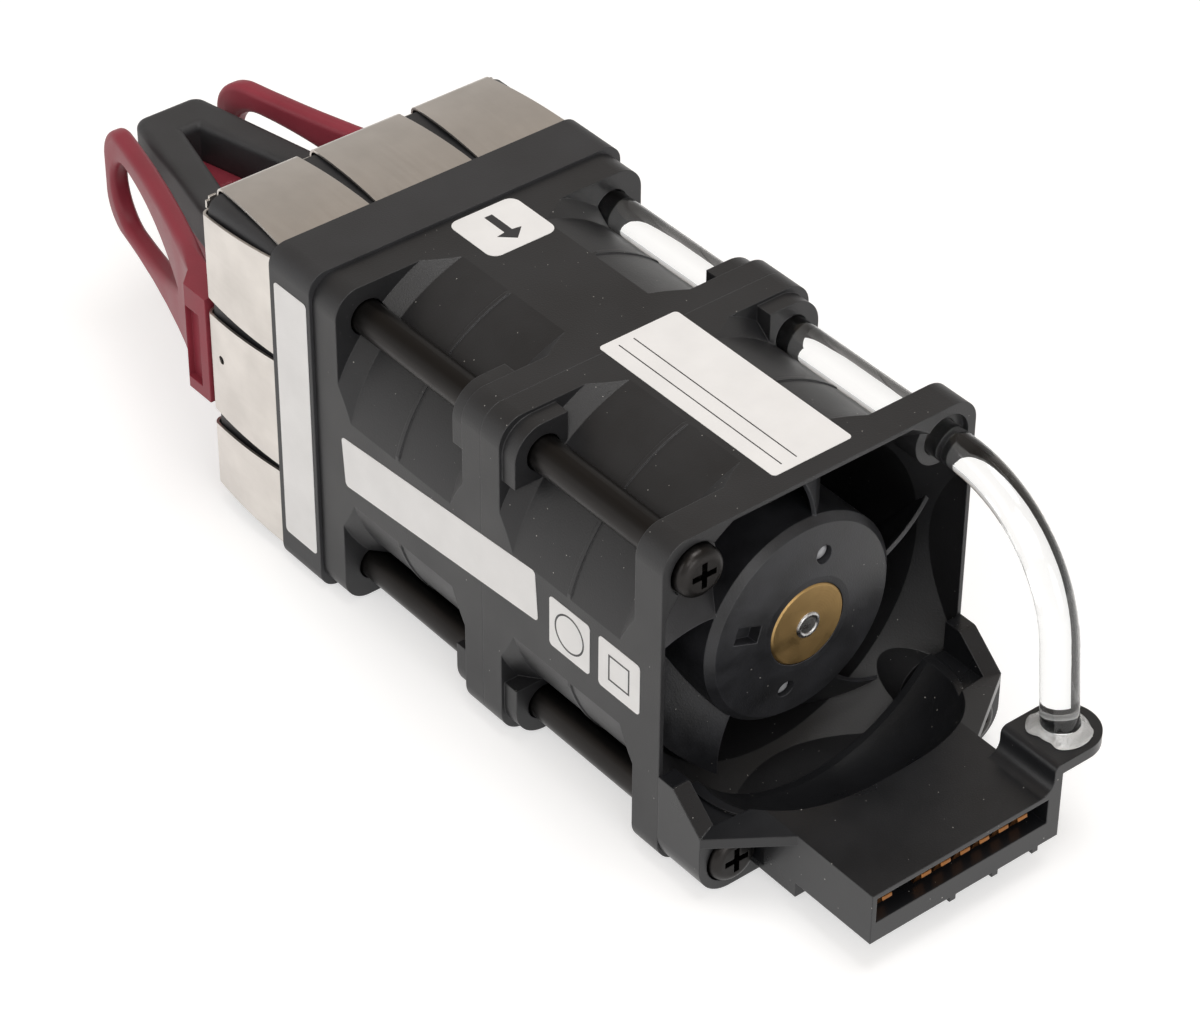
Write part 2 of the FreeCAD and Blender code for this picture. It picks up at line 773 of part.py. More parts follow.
def lever_eye():
    """Teardrop opening of the grip, as a side view: round at the tip and drawn to a point at the root."""
    floor, roof = lever_floor + lever_rail_bottom, lever_top - lever_rail_top
    radius = (roof - floor) / 2
    middle = (roof + floor) / 2
    start, end = lever_tip + lever_eye_start, lever_tip + lever_eye_end
    half_way = (start + end) / 2
    edges = [
        Part.Arc(V(0, start, roof), V(0, start - radius, middle), V(0, start, floor)).toShape(),
        Part.Arc(V(0, start, floor), V(0, half_way, floor + radius / 4), V(0, end, middle)).toShape(),
        Part.Arc(V(0, end, middle), V(0, half_way, roof - radius / 4), V(0, start, roof)).toShape(),
    ]
    return Part.Face(Part.Wire(edges)).extrude(V(fan_size, 0, 0))


def release_lever():
    """Left release lever: grip with a finger eye, root with a window recess, shank and pivot barrel."""
    z_span = (lever_floor, lever_top)
    front = lever_back - lever_root_length
    shank_x = (pivot_x - shank_thickness / 2, pivot_x + shank_thickness / 2)
    bevel = lever_root_bevel
    outline = [(shank_x[0], lever_back), (shank_x[0], lever_back - bevel), (shank_x[1], front),
               (catch_x - 2 * bevel, front), (catch_x, front + 2 * bevel), (catch_x, lever_back)]
    root = plan_prism(outline, z_span)
    shank = block(shank_x, (lever_back - bevel, pivot_y), z_span)
    barrel = post(pivot_radius, z_span, pivot_x, pivot_y)
    lever = fuse([lever_grip(), root, shank, barrel]).cut(lever_eye())
    window = block((catch_x - window_depth, catch_x + overrun),
                   (front + 2 * bevel, lever_back - window_rim),
                   (lever_floor + window_rim, lever_top - 2 * window_rim))
    return lever.cut(window).cut(post(pin_radius + pin_play, z_span, pivot_x, pivot_y))


def lever_pin():
    """Steel pin that the left lever turns on."""
    return post(pin_radius, pin_span(), pivot_x, pivot_y)


def lever_spring():
    """Bowed leaf on the inner wall of the left lever's pocket, beside its shank."""
    start, end = leaf_inset - carrier_depth, pivot_y - pivot_radius - leaf_inset
    middle = (start + end) / 2
    low = axis_z - lever_height / 4

    def at(x, y):
        return V(channel_inner + x, y, low)

    skin = leaf_thickness
    edges = [
        Part.Arc(at(0, start), at(leaf_crown, middle), at(0, end)).toShape(),
        Part.makeLine(at(0, end), at(skin, end)),
        Part.Arc(at(skin, end), at(leaf_crown + skin, middle), at(skin, start)).toShape(),
        Part.makeLine(at(skin, start), at(0, start)),
    ]
    return Part.Face(Part.Wire(edges)).extrude(V(0, 0, lever_height / 2))


def long_screw(x, rise, head_start):
    """Screw with a pan head, a cross recess, a thick shank and a thinner threaded end."""
    face = head_start + head_height
    head = rod(head_radius, (head_start, face), x, rise)
    head = head.makeFillet(head_round, circles_at(head, face))
    for half_x, half_z in ((driver_reach, driver_slot / 2), (driver_slot / 2, driver_reach)):
        head = head.cut(block((x - half_x, x + half_x), (face - driver_depth, face),
                              (axis_z + rise - half_z, axis_z + rise + half_z)))
    shank = rod(screw_radius, (0, head_start), x, rise)
    thread = rod(thread_radius, (-thread_length, 0), x, rise)
    return fuse([head, shank, thread])


def long_screws():
    """The three screws that hold bracket, fans and carrier together."""
    screws = []
    for x, rise in screw_places:
        seat = stack_end - screw_seat_depth if rise > 0 else stack_end + ear_depth - ear_seat_depth
        screws.append(long_screw(x, rise, seat))
    return Part.makeCompound(screws)


def bracket_height(rise):
    """A height above the underside of the fans."""
    return fan_floor + rise


def bracket_mouth():
    """Socket of the connector, open to the rear."""
    end = stack_end + block_reach
    roof = bracket_height(deck_height - mouth_lip)
    return block((block_right + mouth_lip, block_left - mouth_lip), (end - socket_depth, end),
                 (roof - mouth_height, roof))


def pipe_route():
    """Points of the light pipe: front end, start, middle and end of its bend, and foot inside the lug."""
    x, height = pipe_place[0], axis_z + pipe_place[1]
    foot = V(x + pipe_foot_inset, stack_end + block_reach - lug_width / 2,
             bracket_height(lug_height - lug_thickness / 2))
    fall, back = V(pipe_foot_inset, 0, foot.z - height), V(0, 1, 0)
    down = fall / fall.Length
    turn = math.radians(pipe_turn)
    leg = down * math.sin(turn) + back * math.cos(turn)
    leg_length = (fall.Length - pipe_bend * (1 - math.cos(turn))) / math.sin(turn)
    bend_end = foot - leg * leg_length
    centre = bend_end + (down * math.cos(turn) - back * math.sin(turn)) * pipe_bend
    bend_middle = centre + (back * math.sin(turn / 2) - down * math.cos(turn / 2)) * pipe_bend
    front = V(x, -carrier_depth - gasket_thickness, height)
    return front, centre - down * pipe_bend, bend_middle, bend_end, foot


def pipe_foot(reach):
    """Lower end and direction of the light pipe's axis, at a reach past the lug's underside."""
    bend_end, foot = pipe_route()[-2:]
    leg = (foot - bend_end).normalize()
    return foot + leg * (lug_thickness / 2 + reach), leg


def air_scoop(grow):
    """Dished space behind the rear fan that runs out on the deck of the bracket, grown by a wall."""
    start, end = stack_end + scoop_start, stack_end + scoop_end + grow
    end_radius = axis_z - bracket_height(deck_height)
    start_radius = bore_radius + grow

    def at(y, radius):
        return V(0, y, axis_z + radius)

    drop, run = start_radius - end_radius, end - start
    size = math.hypot(drop, run)
    bulge = at((start + end) / 2 + scoop_bulge * drop / size,
               (start_radius + end_radius) / 2 + scoop_bulge * run / size)
    edges = [
        Part.makeLine(at(stack_end, 0), at(stack_end, start_radius)),
        Part.makeLine(at(stack_end, start_radius), at(start, start_radius)),
        Part.Arc(at(start, start_radius), bulge, at(end, end_radius)).toShape(),
        Part.makeLine(at(end, end_radius), at(end, 0)),
        Part.makeLine(at(end, 0), at(stack_end, 0)),
    ]
    return Part.Face(Part.Wire(edges)).revolve(V(0, 0, axis_z), V(0, 1, 0), 360)


def bracket_horns():
    """Gussets on the ears that fall from the fan to the rear edge, with a rounded knee."""
    y0, y1 = stack_end, stack_end + ear_depth
    base, low = bracket_height(ear_top - deck_thickness), bracket_height(ear_top)
    high = bracket_height(horn_height)
    outline = [(y0, base), (y0, high), (y0 + horn_flat, high), (y1, low), (y1, base)]
    horn = side_prism(outline, (fan_half - horn_width, fan_half))
    knee = [edge for edge in horn.Edges if edge.BoundBox.YMin > y0 + hair and edge.BoundBox.ZMin > low]
    horn = horn.makeFillet(horn_round, knee)
    return [horn, mirrored_side(horn)]


def bracket_wing(edge, side):
    """Web that slopes up from the rear edge of an ear to one side edge of the connector block."""
    y0, y1 = stack_end + ear_depth, stack_end + taper_end
    inner, outer = edge - side * overrun, side * fan_half
    high, low = bracket_height(deck_height), bracket_height(ear_top)
    outline = [(outer, y0 - overrun), (outer, y0), (edge, y1), (inner, y1), (inner, stack_end + wing_front)]
    plan = plan_prism(outline, (low - deck_thickness, high))
    slope = [V(inner, stack_end, high), V(edge, stack_end, high), V(outer, stack_end, low),
             V(outer, stack_end, low - deck_thickness), V(edge, stack_end, high - deck_thickness),
             V(inner, stack_end, high - deck_thickness)]
    return plan.common(prism(slope, V(0, taper_end, 0)))


def bracket_lug():
    """Raised tongue that holds the light pipe's foot, with its wall and a cove at the deck."""
    foot = pipe_route()[-1]
    x, y = foot.x - lug_overhang, foot.y
    top, deck = bracket_height(lug_height), bracket_height(deck_height)
    z_span, y_span = (top - lug_thickness, top), (y - lug_width / 2, y + lug_width / 2)
    wall = block((block_right - lug_wall, block_right), y_span, (bracket_height(block_floor), top))
    tongue = fuse([post(lug_width / 2, z_span, x, y), block((x, block_right), y_span, z_span), wall])
    rim = [edge for edge in edges_along(tongue, V(0, 1, 0))
           if edge.BoundBox.XMin > block_right - hair and edge.BoundBox.ZMin > top - hair]
    end = block_right + lug_cove
    cove = block((block_right - hair, end), y_span, (deck - hair, deck + lug_cove))
    cove = cove.cut(Part.makeCylinder(lug_cove, lug_width, V(end, y_span[0], deck + lug_cove), V(0, 1, 0)))
    return [tongue.makeFillet(lug_round, rim), cove]


def connector_bracket():
    """Moulded bracket: ears with gussets, sloping wings, air scoop, connector block and light-pipe lug."""
    y0 = stack_end
    deck = bracket_height(deck_height)
    ear_box = block((-fan_half, fan_half), (y0, y0 + ear_depth), (fan_floor, bracket_height(ear_top)))
    ears = square(fan_half, ear_corner, (y0, y0 + ear_depth)).common(ear_box)
    shell = air_scoop(scoop_wall).common(block((-fan_half, fan_half), (y0, y0 + block_reach),
                                               (fan_floor, deck - deck_thickness)))
    core = block((block_right, block_left), (y0, y0 + block_reach), (bracket_height(block_floor), deck))
    skirt = block((block_right, block_left), (y0, y0 + skirt_reach), (bracket_height(skirt_floor), deck))
    pan = block((-pan_half, pan_half), (y0, y0 + pan_reach), (bracket_height(pan_floor), deck))
    wings = [bracket_wing(block_left, 1), bracket_wing(block_right, -1)]
    solids = [ears, shell, core, skirt, pan] + bracket_horns() + wings + bracket_lug()
    rib_y = (y0 + block_reach - rib_length, y0 + block_reach)
    rib_z = (bracket_height(block_floor - rib_height), bracket_height(block_floor + rib_height))
    for place in rib_places:
        solids.append(block((place - rib_width / 2, place + rib_width / 2), rib_y, rib_z))
    body = fuse(solids).cut(air_scoop(0)).cut(bracket_mouth())
    seat = y0 + ear_depth - ear_seat_depth
    for place in ((hole_offset, -hole_offset), (-hole_offset, -hole_offset)):
        body = body.cut(rod(screw_hole_radius, (y0, y0 + ear_depth), *place))
        body = body.cut(rod(head_radius + screw_play, (seat, seat + head_height + overrun), *place))
    end, leg = pipe_foot(overrun)
    body = body.cut(Part.makeCylinder(pipe_hole_radius, lug_thickness + 2 * overrun, end, -leg))
    for contact in contact_shapes(contact_play):
        body = body.cut(contact)
    return body.removeSplitter()


def contact_shapes(play):
    """Spring contacts under the roof of the socket, or with a play only their slots in its back wall."""
    end = stack_end + block_reach
    back = end - socket_depth
    roof = bracket_height(deck_height - mouth_lip) - 2 * contact_play
    top, low, side = roof + play, roof - contact_thickness - play, contact_width / 2 + play
    bend_y, tip_y = end - contact_bend, end - contact_end
    shapes = []
    for place in contact_places:
        x = block_left - contact_margin - place * contact_pitch
        tail = block((x - side, x + side), (back - contact_bite - play, back + play), (low, top))
        blade = side_prism([(back, top), (back, low), (bend_y, low - contact_dip), (tip_y, low),
                            (tip_y, top), (bend_y, top - contact_dip)], (x - side, x + side))
        shapes.append(tail if play > 0 else fuse([tail, blade]))
    return shapes


def light_pipe():
    """Clear round rod along the fourth corner, bent down and a little inward to its foot in the lug."""
    front, bend_start, bend_middle, bend_end, _ = pipe_route()
    end, _ = pipe_foot(0)
    path = Part.Wire([
        Part.makeLine(front, bend_start),
        Part.Arc(bend_start, bend_middle, bend_end).toShape(),
        Part.makeLine(bend_end, end),
    ])
    section = Part.Wire(Part.makeCircle(pipe_radius, front, V(0, 1, 0)))
    return path.makePipeShell([section], True, False)


def fan_pieces(angle):
    """Every piece of one fan as (name, shape), built as the front fan."""
    outer, inner = bearing_depths()
    return [
        ("housing", fan_housing()), ("impeller", impeller(angle)), ("rotor_yoke", rotor_yoke()),
        ("ring_magnet", ring_magnet()), ("shaft_boss", shaft_boss()), ("shaft", rotor_shaft()),
        ("shaft_clip", shaft_clip()), ("outer_bearing", bearing(outer)), ("inner_bearing", bearing(inner)),
        ("bearing_tube", bearing_tube()), ("stator_core", stator_core()),
        ("stator_windings", stator_windings()), ("motor_board", motor_board()),
    ]


def main():
    """Build every piece and write it."""
    os.makedirs("parts", exist_ok=True)
    for name, shape in fan_pieces(front_blade_angle):
        export("front_fan_" + name, shape)
    for name, shape in fan_pieces(rear_blade_angle):
        export("rear_fan_" + name, mirrored_fan(shape))
    export("front_carrier", front_carrier())
    export("upper_grille", grille(1))
    export("lower_grille", grille(-1))
    export("emi_gasket", emi_gasket())
    export("handle", handle())
    export("handle_insert", handle_insert())
    for side, place in (("left", lambda shape: shape), ("right", mirrored_side)):
        export(side + "_release_lever", place(release_lever()))
        export(side + "_lever_pin", place(lever_pin()))
        export(side + "_lever_spring", place(lever_spring()))
    export("long_screws", long_screws())
    export("connector_bracket", connector_bracket())
    export("connector_contacts", Part.makeCompound(contact_shapes(0)))
    export("light_pipe", light_pipe())


main()
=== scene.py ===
"""Looks of a plug-in fan module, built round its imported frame.

Every length is in metres, in the frame's own axes: +X is the side with the upper screw, -Y the handle end
and +Z up. Y = 0 is the joint between the front carrier and the fans, and Z = 0 is the floor.
"""
import logging
import math
from dataclasses import dataclass
from enum import Enum
from typing import Callable, Sequence

import bmesh
import bpy
from mathutils import Matrix, Vector


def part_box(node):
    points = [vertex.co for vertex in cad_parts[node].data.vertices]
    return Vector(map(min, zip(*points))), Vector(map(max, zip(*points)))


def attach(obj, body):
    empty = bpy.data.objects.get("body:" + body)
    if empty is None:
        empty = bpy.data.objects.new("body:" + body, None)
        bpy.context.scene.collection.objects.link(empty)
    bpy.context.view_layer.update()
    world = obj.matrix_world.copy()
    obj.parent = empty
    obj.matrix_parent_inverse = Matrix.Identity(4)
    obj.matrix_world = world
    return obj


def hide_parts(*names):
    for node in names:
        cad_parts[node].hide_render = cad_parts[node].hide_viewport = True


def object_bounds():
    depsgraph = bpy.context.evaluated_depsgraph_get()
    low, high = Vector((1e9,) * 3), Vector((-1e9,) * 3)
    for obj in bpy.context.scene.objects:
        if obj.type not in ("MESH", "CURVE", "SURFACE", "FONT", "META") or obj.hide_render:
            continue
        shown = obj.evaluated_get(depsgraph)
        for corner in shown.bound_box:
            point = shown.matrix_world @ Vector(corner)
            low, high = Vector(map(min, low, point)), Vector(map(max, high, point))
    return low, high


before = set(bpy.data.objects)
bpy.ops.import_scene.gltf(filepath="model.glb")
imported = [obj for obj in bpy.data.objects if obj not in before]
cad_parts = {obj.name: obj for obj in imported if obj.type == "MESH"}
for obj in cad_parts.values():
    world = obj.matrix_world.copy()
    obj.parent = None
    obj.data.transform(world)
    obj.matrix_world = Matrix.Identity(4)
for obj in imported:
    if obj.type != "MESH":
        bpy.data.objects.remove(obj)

Pair = tuple[float, float]
Colour = tuple[float, float, float]
Point = tuple[float, float, float]
Socket = bpy.types.NodeSocket
Piece = bpy.types.Object

LOG = logging.getLogger("fan_module")
CAD_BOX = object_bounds()
MM = 0.001
ROOT = "module"
FAN_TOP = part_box("rear_fan_housing")[1].z
FAN_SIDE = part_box("rear_fan_housing")[1].x
AXIS_Z = (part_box("rear_fan_housing")[0].z + FAN_TOP) / 2
ORIGIN: Point = (0.0, 0.0, 0.0)
SIDE: Point = (1.0, 0.0, 0.0)
BACK: Point = (0.0, 1.0, 0.0)
UP: Point = (0.0, 0.0, 1.0)
UNTURNED = Matrix.Identity(3)
WHITE: Colour = (1.0, 1.0, 1.0)
NOISE_RANGE = (0.3, 0.7)


class NodeBoard:
    """Adds nodes to one shader tree and wires them together."""

    MIX_COLOURS = (6, 7)
    MIX_RESULT = 2

    def __init__(self, tree: bpy.types.NodeTree) -> None:
        """Keep the tree to work on."""
        self.tree = tree

    def add(self, kind: str, **settings: object) -> bpy.types.Node:
        """Add one node.

        Args:
            kind: the node's Blender type.
            settings: attributes to set on it.

        Returns:
            The new node.
        """
        node = self.tree.nodes.new(kind)
        for name, value in settings.items():
            setattr(node, name, value)
        return node

    def wire(self, source: Socket, target: Socket) -> None:
        """Join an output to an input."""
        self.tree.links.new(source, target)

    def math(self, operation: str, *values: object) -> Socket:
        """Add one Math node.

        Args:
            operation: the operation's name.
            values: numbers or sockets for its inputs, in order.

        Returns:
            The node's output.
        """
        node = self.add("ShaderNodeMath", operation=operation)
        for place, value in zip(node.inputs, values):
            if isinstance(value, (int, float)):
                place.default_value = value
            else:
                self.wire(value, place)
        return node.outputs[0]

    def mix(self, factor: Socket, first: object, second: object) -> Socket:
        """Mix two colours.

        Args:
            factor: socket of the mixing factor.
            first: colour or socket at factor 0.
            second: colour or socket at factor 1.

        Returns:
            The mixed colour's socket.
        """
        node = self.add("ShaderNodeMix", data_type="RGBA")
        self.wire(factor, node.inputs[0])
        for number, value in zip(self.MIX_COLOURS, (first, second)):
            if isinstance(value, tuple):
                node.inputs[number].default_value = (*value, 1.0)
            else:
                self.wire(value, node.inputs[number])
        return node.outputs[self.MIX_RESULT]

    def span(self, value: Socket, low: float, high: float, source: Pair = NOISE_RANGE) -> Socket:
        """Map a value from one range to another.

        Args:
            value: socket to map.
            low: result at the start of the source range.
            high: result at its end.
            source: the source range, by default where noise mostly lies.

        Returns:
            The mapped value's socket.
        """
        node = self.add("ShaderNodeMapRange")
        self.wire(value, node.inputs[0])
        for place, number in zip(node.inputs[1:5], (*source, low, high)):
            place.default_value = number
        return node.outputs[0]

    def around(self, value: Socket, middle: float, spread: Pair, source: Pair = NOISE_RANGE) -> Socket:
        """Map a value to a band about a middle, with a spread to each side."""
        return self.span(value, middle + spread[0], middle + spread[1], source)

    def relief(self, height: Socket, depth: float, shader: bpy.types.Node,
               base: Socket | None = None) -> None:
        """Give a shader a bump.

        Args:
            height: socket of the height, from 0 to 1.
            depth: depth of the bump.
            shader: the shader that takes it.
            base: normal that the bump is laid on, if any.
        """
        bump = self.add("ShaderNodeBump")
        bump.inputs["Distance"].default_value = depth
        self.wire(height, bump.inputs["Height"])
        if base is not None:
            self.wire(base, bump.inputs["Normal"])
        self.wire(bump.outputs[0], shader.inputs["Normal"])


class Effect(Enum):
    """The shared surface effects, each a shader node group."""

    GRAIN = "moulded_grain"
    DUST = "dust_specks"
    EDGE = "soft_edge"
    STREAK = "rolled_streaks"


class EffectShop:
    """Builds each shared effect once and places it in materials."""

    GRAIN_DETAIL = 2.0
    CLOUD_DETAIL = 4.0
    STREAK_DETAIL = 3.0
    STREAK_DRAW = (1.0, 0.02, 1.0)
    EDGE_SAMPLES = 6
    EDGE_RANGE = (0.8, 0.99)

    def __init__(self) -> None:
        """Build every group."""
        self.groups = {Effect.GRAIN: self._grain(), Effect.DUST: self._dust(), Effect.EDGE: self._edge(),
                       Effect.STREAK: self._streak()}

    @staticmethod
    def _group(effect: Effect, inputs: dict[str, float], outputs: Sequence[str], normal: bool = False
               ) -> tuple[bpy.types.NodeTree, NodeBoard, bpy.types.Node, bpy.types.Node]:
        """Start a group with number sockets, and a normal if asked.

        Args:
            effect: which effect it is.
            inputs: each input's name and default.
            outputs: names of the number outputs.
            normal: whether the group also puts out a normal.

        Returns:
            The group, its board, its input node and its output node.
        """
        tree = bpy.data.node_groups.new(effect.value, "ShaderNodeTree")
        for name, value in inputs.items():
            socket = tree.interface.new_socket(name, in_out="INPUT", socket_type="NodeSocketFloat")
            socket.default_value = value
        for name in outputs:
            tree.interface.new_socket(name, in_out="OUTPUT", socket_type="NodeSocketFloat")
        if normal:
            tree.interface.new_socket("Normal", in_out="OUTPUT", socket_type="NodeSocketVector")
        board = NodeBoard(tree)
        return tree, board, board.add("NodeGroupInput"), board.add("NodeGroupOutput")

    @staticmethod
    def _noise(board: NodeBoard, place: Socket, scale: Socket, detail: float) -> Socket:
        """Add one noise texture.

        Args:
            board: the group's board.
            place: socket of the coordinates.
            scale: socket of the noise's scale.
            detail: how many finer layers it has.

        Returns:
            The noise's socket.
        """
        noise = board.add("ShaderNodeTexNoise")
        noise.inputs["Detail"].default_value = detail
        board.wire(place, noise.inputs["Vector"])
        board.wire(scale, noise.inputs["Scale"])
        return noise.outputs[0]

    def _grain(self) -> bpy.types.NodeTree:
        """Build the fine grain of a moulded face and the slow clouds of its tone.

        Returns:
            The group.
        """
        inputs = {"Grain Scale": 5000.0, "Cloud Scale": 120.0}
        tree, board, start, end = self._group(Effect.GRAIN, inputs, ("Height", "Cloud"))
        place = board.add("ShaderNodeTexCoord").outputs["Object"]
        height = self._noise(board, place, start.outputs["Grain Scale"], self.GRAIN_DETAIL)
        cloud = self._noise(board, place, start.outputs["Cloud Scale"], self.CLOUD_DETAIL)
        board.wire(height, end.inputs["Height"])
        board.wire(cloud, end.inputs["Cloud"])
        return tree

    def _dust(self) -> bpy.types.NodeTree:
        """Build sparse pale specks, each in its own cell.

        Returns:
            The group.
        """
        inputs = {"Cell Scale": 420.0, "Amount": 0.3, "Size": 0.07}
        tree, board, start, end = self._group(Effect.DUST, inputs, ("Specks",))
        place = board.add("ShaderNodeTexCoord").outputs["Object"]
        cells = board.add("ShaderNodeTexVoronoi")
        board.wire(place, cells.inputs["Vector"])
        board.wire(start.outputs["Cell Scale"], cells.inputs["Scale"])
        parts = board.add("ShaderNodeSeparateColor")
        board.wire(cells.outputs["Color"], parts.inputs[0])
        chosen = board.math("LESS_THAN", parts.outputs[0], start.outputs["Amount"])
        reach = board.math("MULTIPLY", parts.outputs[1], start.outputs["Size"])
        near = board.math("LESS_THAN", cells.outputs["Distance"], reach)
        board.wire(board.math("MULTIPLY", chosen, near), end.inputs["Specks"])
        return tree

    def _edge(self) -> bpy.types.NodeTree:
        """Build rounded normals at edges and a mask of where they are.

        Returns:
            The group.
        """
        tree, board, start, end = self._group(Effect.EDGE, {"Radius": 0.15 * MM}, ("Edge",), normal=True)
        bevel = board.add("ShaderNodeBevel", samples=self.EDGE_SAMPLES)
        board.wire(start.outputs["Radius"], bevel.inputs["Radius"])
        flat = board.add("ShaderNodeNewGeometry").outputs["Normal"]
        dot = board.add("ShaderNodeVectorMath", operation="DOT_PRODUCT")
        board.wire(bevel.outputs[0], dot.inputs[0])
        board.wire(flat, dot.inputs[1])
        board.wire(board.span(dot.outputs["Value"], 1.0, 0.0, self.EDGE_RANGE), end.inputs["Edge"])
        board.wire(bevel.outputs[0], end.inputs["Normal"])
        return tree

    def _streak(self) -> bpy.types.NodeTree:
        """Build the lines of rolled sheet, drawn out along Y, and the cloudy tone under them.

        Returns:
            The group.
        """
        inputs = {"Line Scale": 2500.0, "Cloud Scale": 180.0}
        tree, board, start, end = self._group(Effect.STREAK, inputs, ("Lines", "Cloud"))
        place = board.add("ShaderNodeTexCoord").outputs["Object"]
        drawn = board.add("ShaderNodeMapping")
        drawn.inputs["Scale"].default_value = self.STREAK_DRAW
        board.wire(place, drawn.inputs["Vector"])
        lines = self._noise(board, drawn.outputs[0], start.outputs["Line Scale"], self.STREAK_DETAIL)
        cloud = self._noise(board, place, start.outputs["Cloud Scale"], self.STREAK_DETAIL)
        board.wire(lines, end.inputs["Lines"])
        board.wire(cloud, end.inputs["Cloud"])
        return tree

    def place(self, board: NodeBoard, effect: Effect, **values: float) -> bpy.types.Node:
        """Put an effect into a material.

        Args:
            board: the material's board.
            effect: which effect.
            values: its inputs, with underscores for spaces.

        Returns:
            The group node.
        """
        node = board.add("ShaderNodeGroup", node_tree=self.groups[effect])
        for name, value in values.items():
            node.inputs[name.replace("_", " ").title()].default_value = value
        return node


def new_material(name: str) -> tuple[bpy.types.Material, NodeBoard, bpy.types.Node]:
    """Start a material.

    Args:
        name: the material's name.

    Returns:
        The material, its board and its Principled shader.
    """
    material = bpy.data.materials.new(name)
    material.use_nodes = True
    board = NodeBoard(material.node_tree)
    return material, board, material.node_tree.nodes["Principled BSDF"]


def scaled(colour: Colour, factor: float) -> Colour:
    """Give a colour a lighter or darker shade."""
    return tuple(min(1.0, part * factor) for part in colour)


@dataclass(frozen=True)
class MouldedPlastic:
    """Moulded plastic with fine grain, cloudy tone, edges paler from wear and a painted highlight, and a
    little dust.
    """

    name: str
    colour: Colour
    roughness: float = 0.45
    roughness_spread: Pair = (-0.05, 0.07)
    gloss: float = 0.5
    tone: float = 0.2
    cloud_scale: float = 120.0
    grain: float = 0.02 * MM
    edge_radius: float = 0.18 * MM
    # Edge colour factor: partly wear, partly a painted highlight on rims and chamfers.
    edge_wear_and_highlight: float = 2.2
    dust: float = 0.1
    dust_scale: float = 420.0
    dust_colour: Colour = (0.4, 0.39, 0.37)

    def build(self, shop: EffectShop) -> bpy.types.Material:
        """Make the material.

        Args:
            shop: the shared effects.

        Returns:
            The finished material.
        """
        material, board, shader = new_material(self.name)
        shader.inputs["Specular IOR Level"].default_value = self.gloss
        grain = shop.place(board, Effect.GRAIN, cloud_scale=self.cloud_scale)
        edge = shop.place(board, Effect.EDGE, radius=self.edge_radius)
        dust = shop.place(board, Effect.DUST, amount=self.dust, cell_scale=self.dust_scale)
        cloud = grain.outputs["Cloud"]
        tone = board.mix(board.span(cloud, 0.0, 1.0), scaled(self.colour, 1 - self.tone),
                         scaled(self.colour, 1 + self.tone))
        # Paler edges: partly rubbed wear, partly a painted highlight along rims and chamfers.
        worn_and_highlit = board.mix(board.math("MULTIPLY", edge.outputs["Edge"], cloud), tone,
                           scaled(self.colour, self.edge_wear_and_highlight))
        dusty = board.mix(dust.outputs["Specks"], worn_and_highlit, self.dust_colour)
        board.wire(dusty, shader.inputs["Base Color"])
        board.wire(board.around(cloud, self.roughness, self.roughness_spread), shader.inputs["Roughness"])
        board.relief(grain.outputs["Height"], self.grain, shader, edge.outputs["Normal"])
        return material


@dataclass(frozen=True)
class RolledSheet:
    """Bare sheet or drawn steel with rolling lines and a cloudy, handled tone."""

    name: str
    colour: Colour
    roughness: float = 0.34
    roughness_spread: Pair = (-0.06, 0.1)
    handled_tone: float = 0.86
    line_depth: float = 0.004 * MM
    edge_radius: float = 0.12 * MM

    def build(self, shop: EffectShop) -> bpy.types.Material:
        """Make the material.

        Args:
            shop: the shared effects.

        Returns:
            The finished material.
        """
        material, board, shader = new_material(self.name)
        shader.inputs["Metallic"].default_value = 1.0
        streak = shop.place(board, Effect.STREAK)
        edge = shop.place(board, Effect.EDGE, radius=self.edge_radius)
        lines, cloud = streak.outputs["Lines"], streak.outputs["Cloud"]
        tone = board.mix(board.span(cloud, 0.0, 1.0), self.colour, scaled(self.colour, self.handled_tone))
        board.wire(tone, shader.inputs["Base Color"])
        both = board.math("ADD", lines, cloud)
        both_range = tuple(2 * end for end in NOISE_RANGE)
        board.wire(board.around(both, self.roughness, self.roughness_spread, both_range),
                   shader.inputs["Roughness"])
        board.relief(lines, self.line_depth, shader, edge.outputs["Normal"])
        return material


@dataclass(frozen=True)
class TurnedMetal:
    """Metal turned on a lathe about the fan axis, with fine tool rings."""

    name: str
    colour: Colour
    roughness: float = 0.3
    roughness_spread: Pair = (0.0, 0.15)
    tarnish_tone: float = 0.7
    cloud_scale: float = 500.0
    edge_radius: float = 0.1 * MM
    ring_pitch: float = 0.3 * MM
    ring_depth: float = 0.003 * MM

    def build(self, shop: EffectShop) -> bpy.types.Material:
        """Make the material.

        Args:
            shop: the shared effects.

        Returns:
            The finished material.
        """
        material, board, shader = new_material(self.name)
        shader.inputs["Metallic"].default_value = 1.0
        cloud = shop.place(board, Effect.GRAIN, cloud_scale=self.cloud_scale).outputs["Cloud"]
        edge = shop.place(board, Effect.EDGE, radius=self.edge_radius)
        centred = board.add("ShaderNodeMapping")
        centred.inputs["Location"].default_value = (0.0, 0.0, -AXIS_Z)
        centred.inputs["Scale"].default_value = (1.0, 0.0, 1.0)
        board.wire(board.add("ShaderNodeTexCoord").outputs["Object"], centred.inputs["Vector"])
        length = board.add("ShaderNodeVectorMath", operation="LENGTH")
        board.wire(centred.outputs[0], length.inputs[0])
        turns = board.math("MULTIPLY", length.outputs["Value"], 2 * math.pi / self.ring_pitch)
        ring = board.span(board.math("SINE", turns), 0.0, 1.0, (-1.0, 1.0))
        tone = board.mix(cloud, self.colour, scaled(self.colour, self.tarnish_tone))
        board.wire(tone, shader.inputs["Base Color"])
        board.wire(board.around(cloud, self.roughness, self.roughness_spread), shader.inputs["Roughness"])
        board.relief(ring, self.ring_depth, shader, edge.outputs["Normal"])
        return material


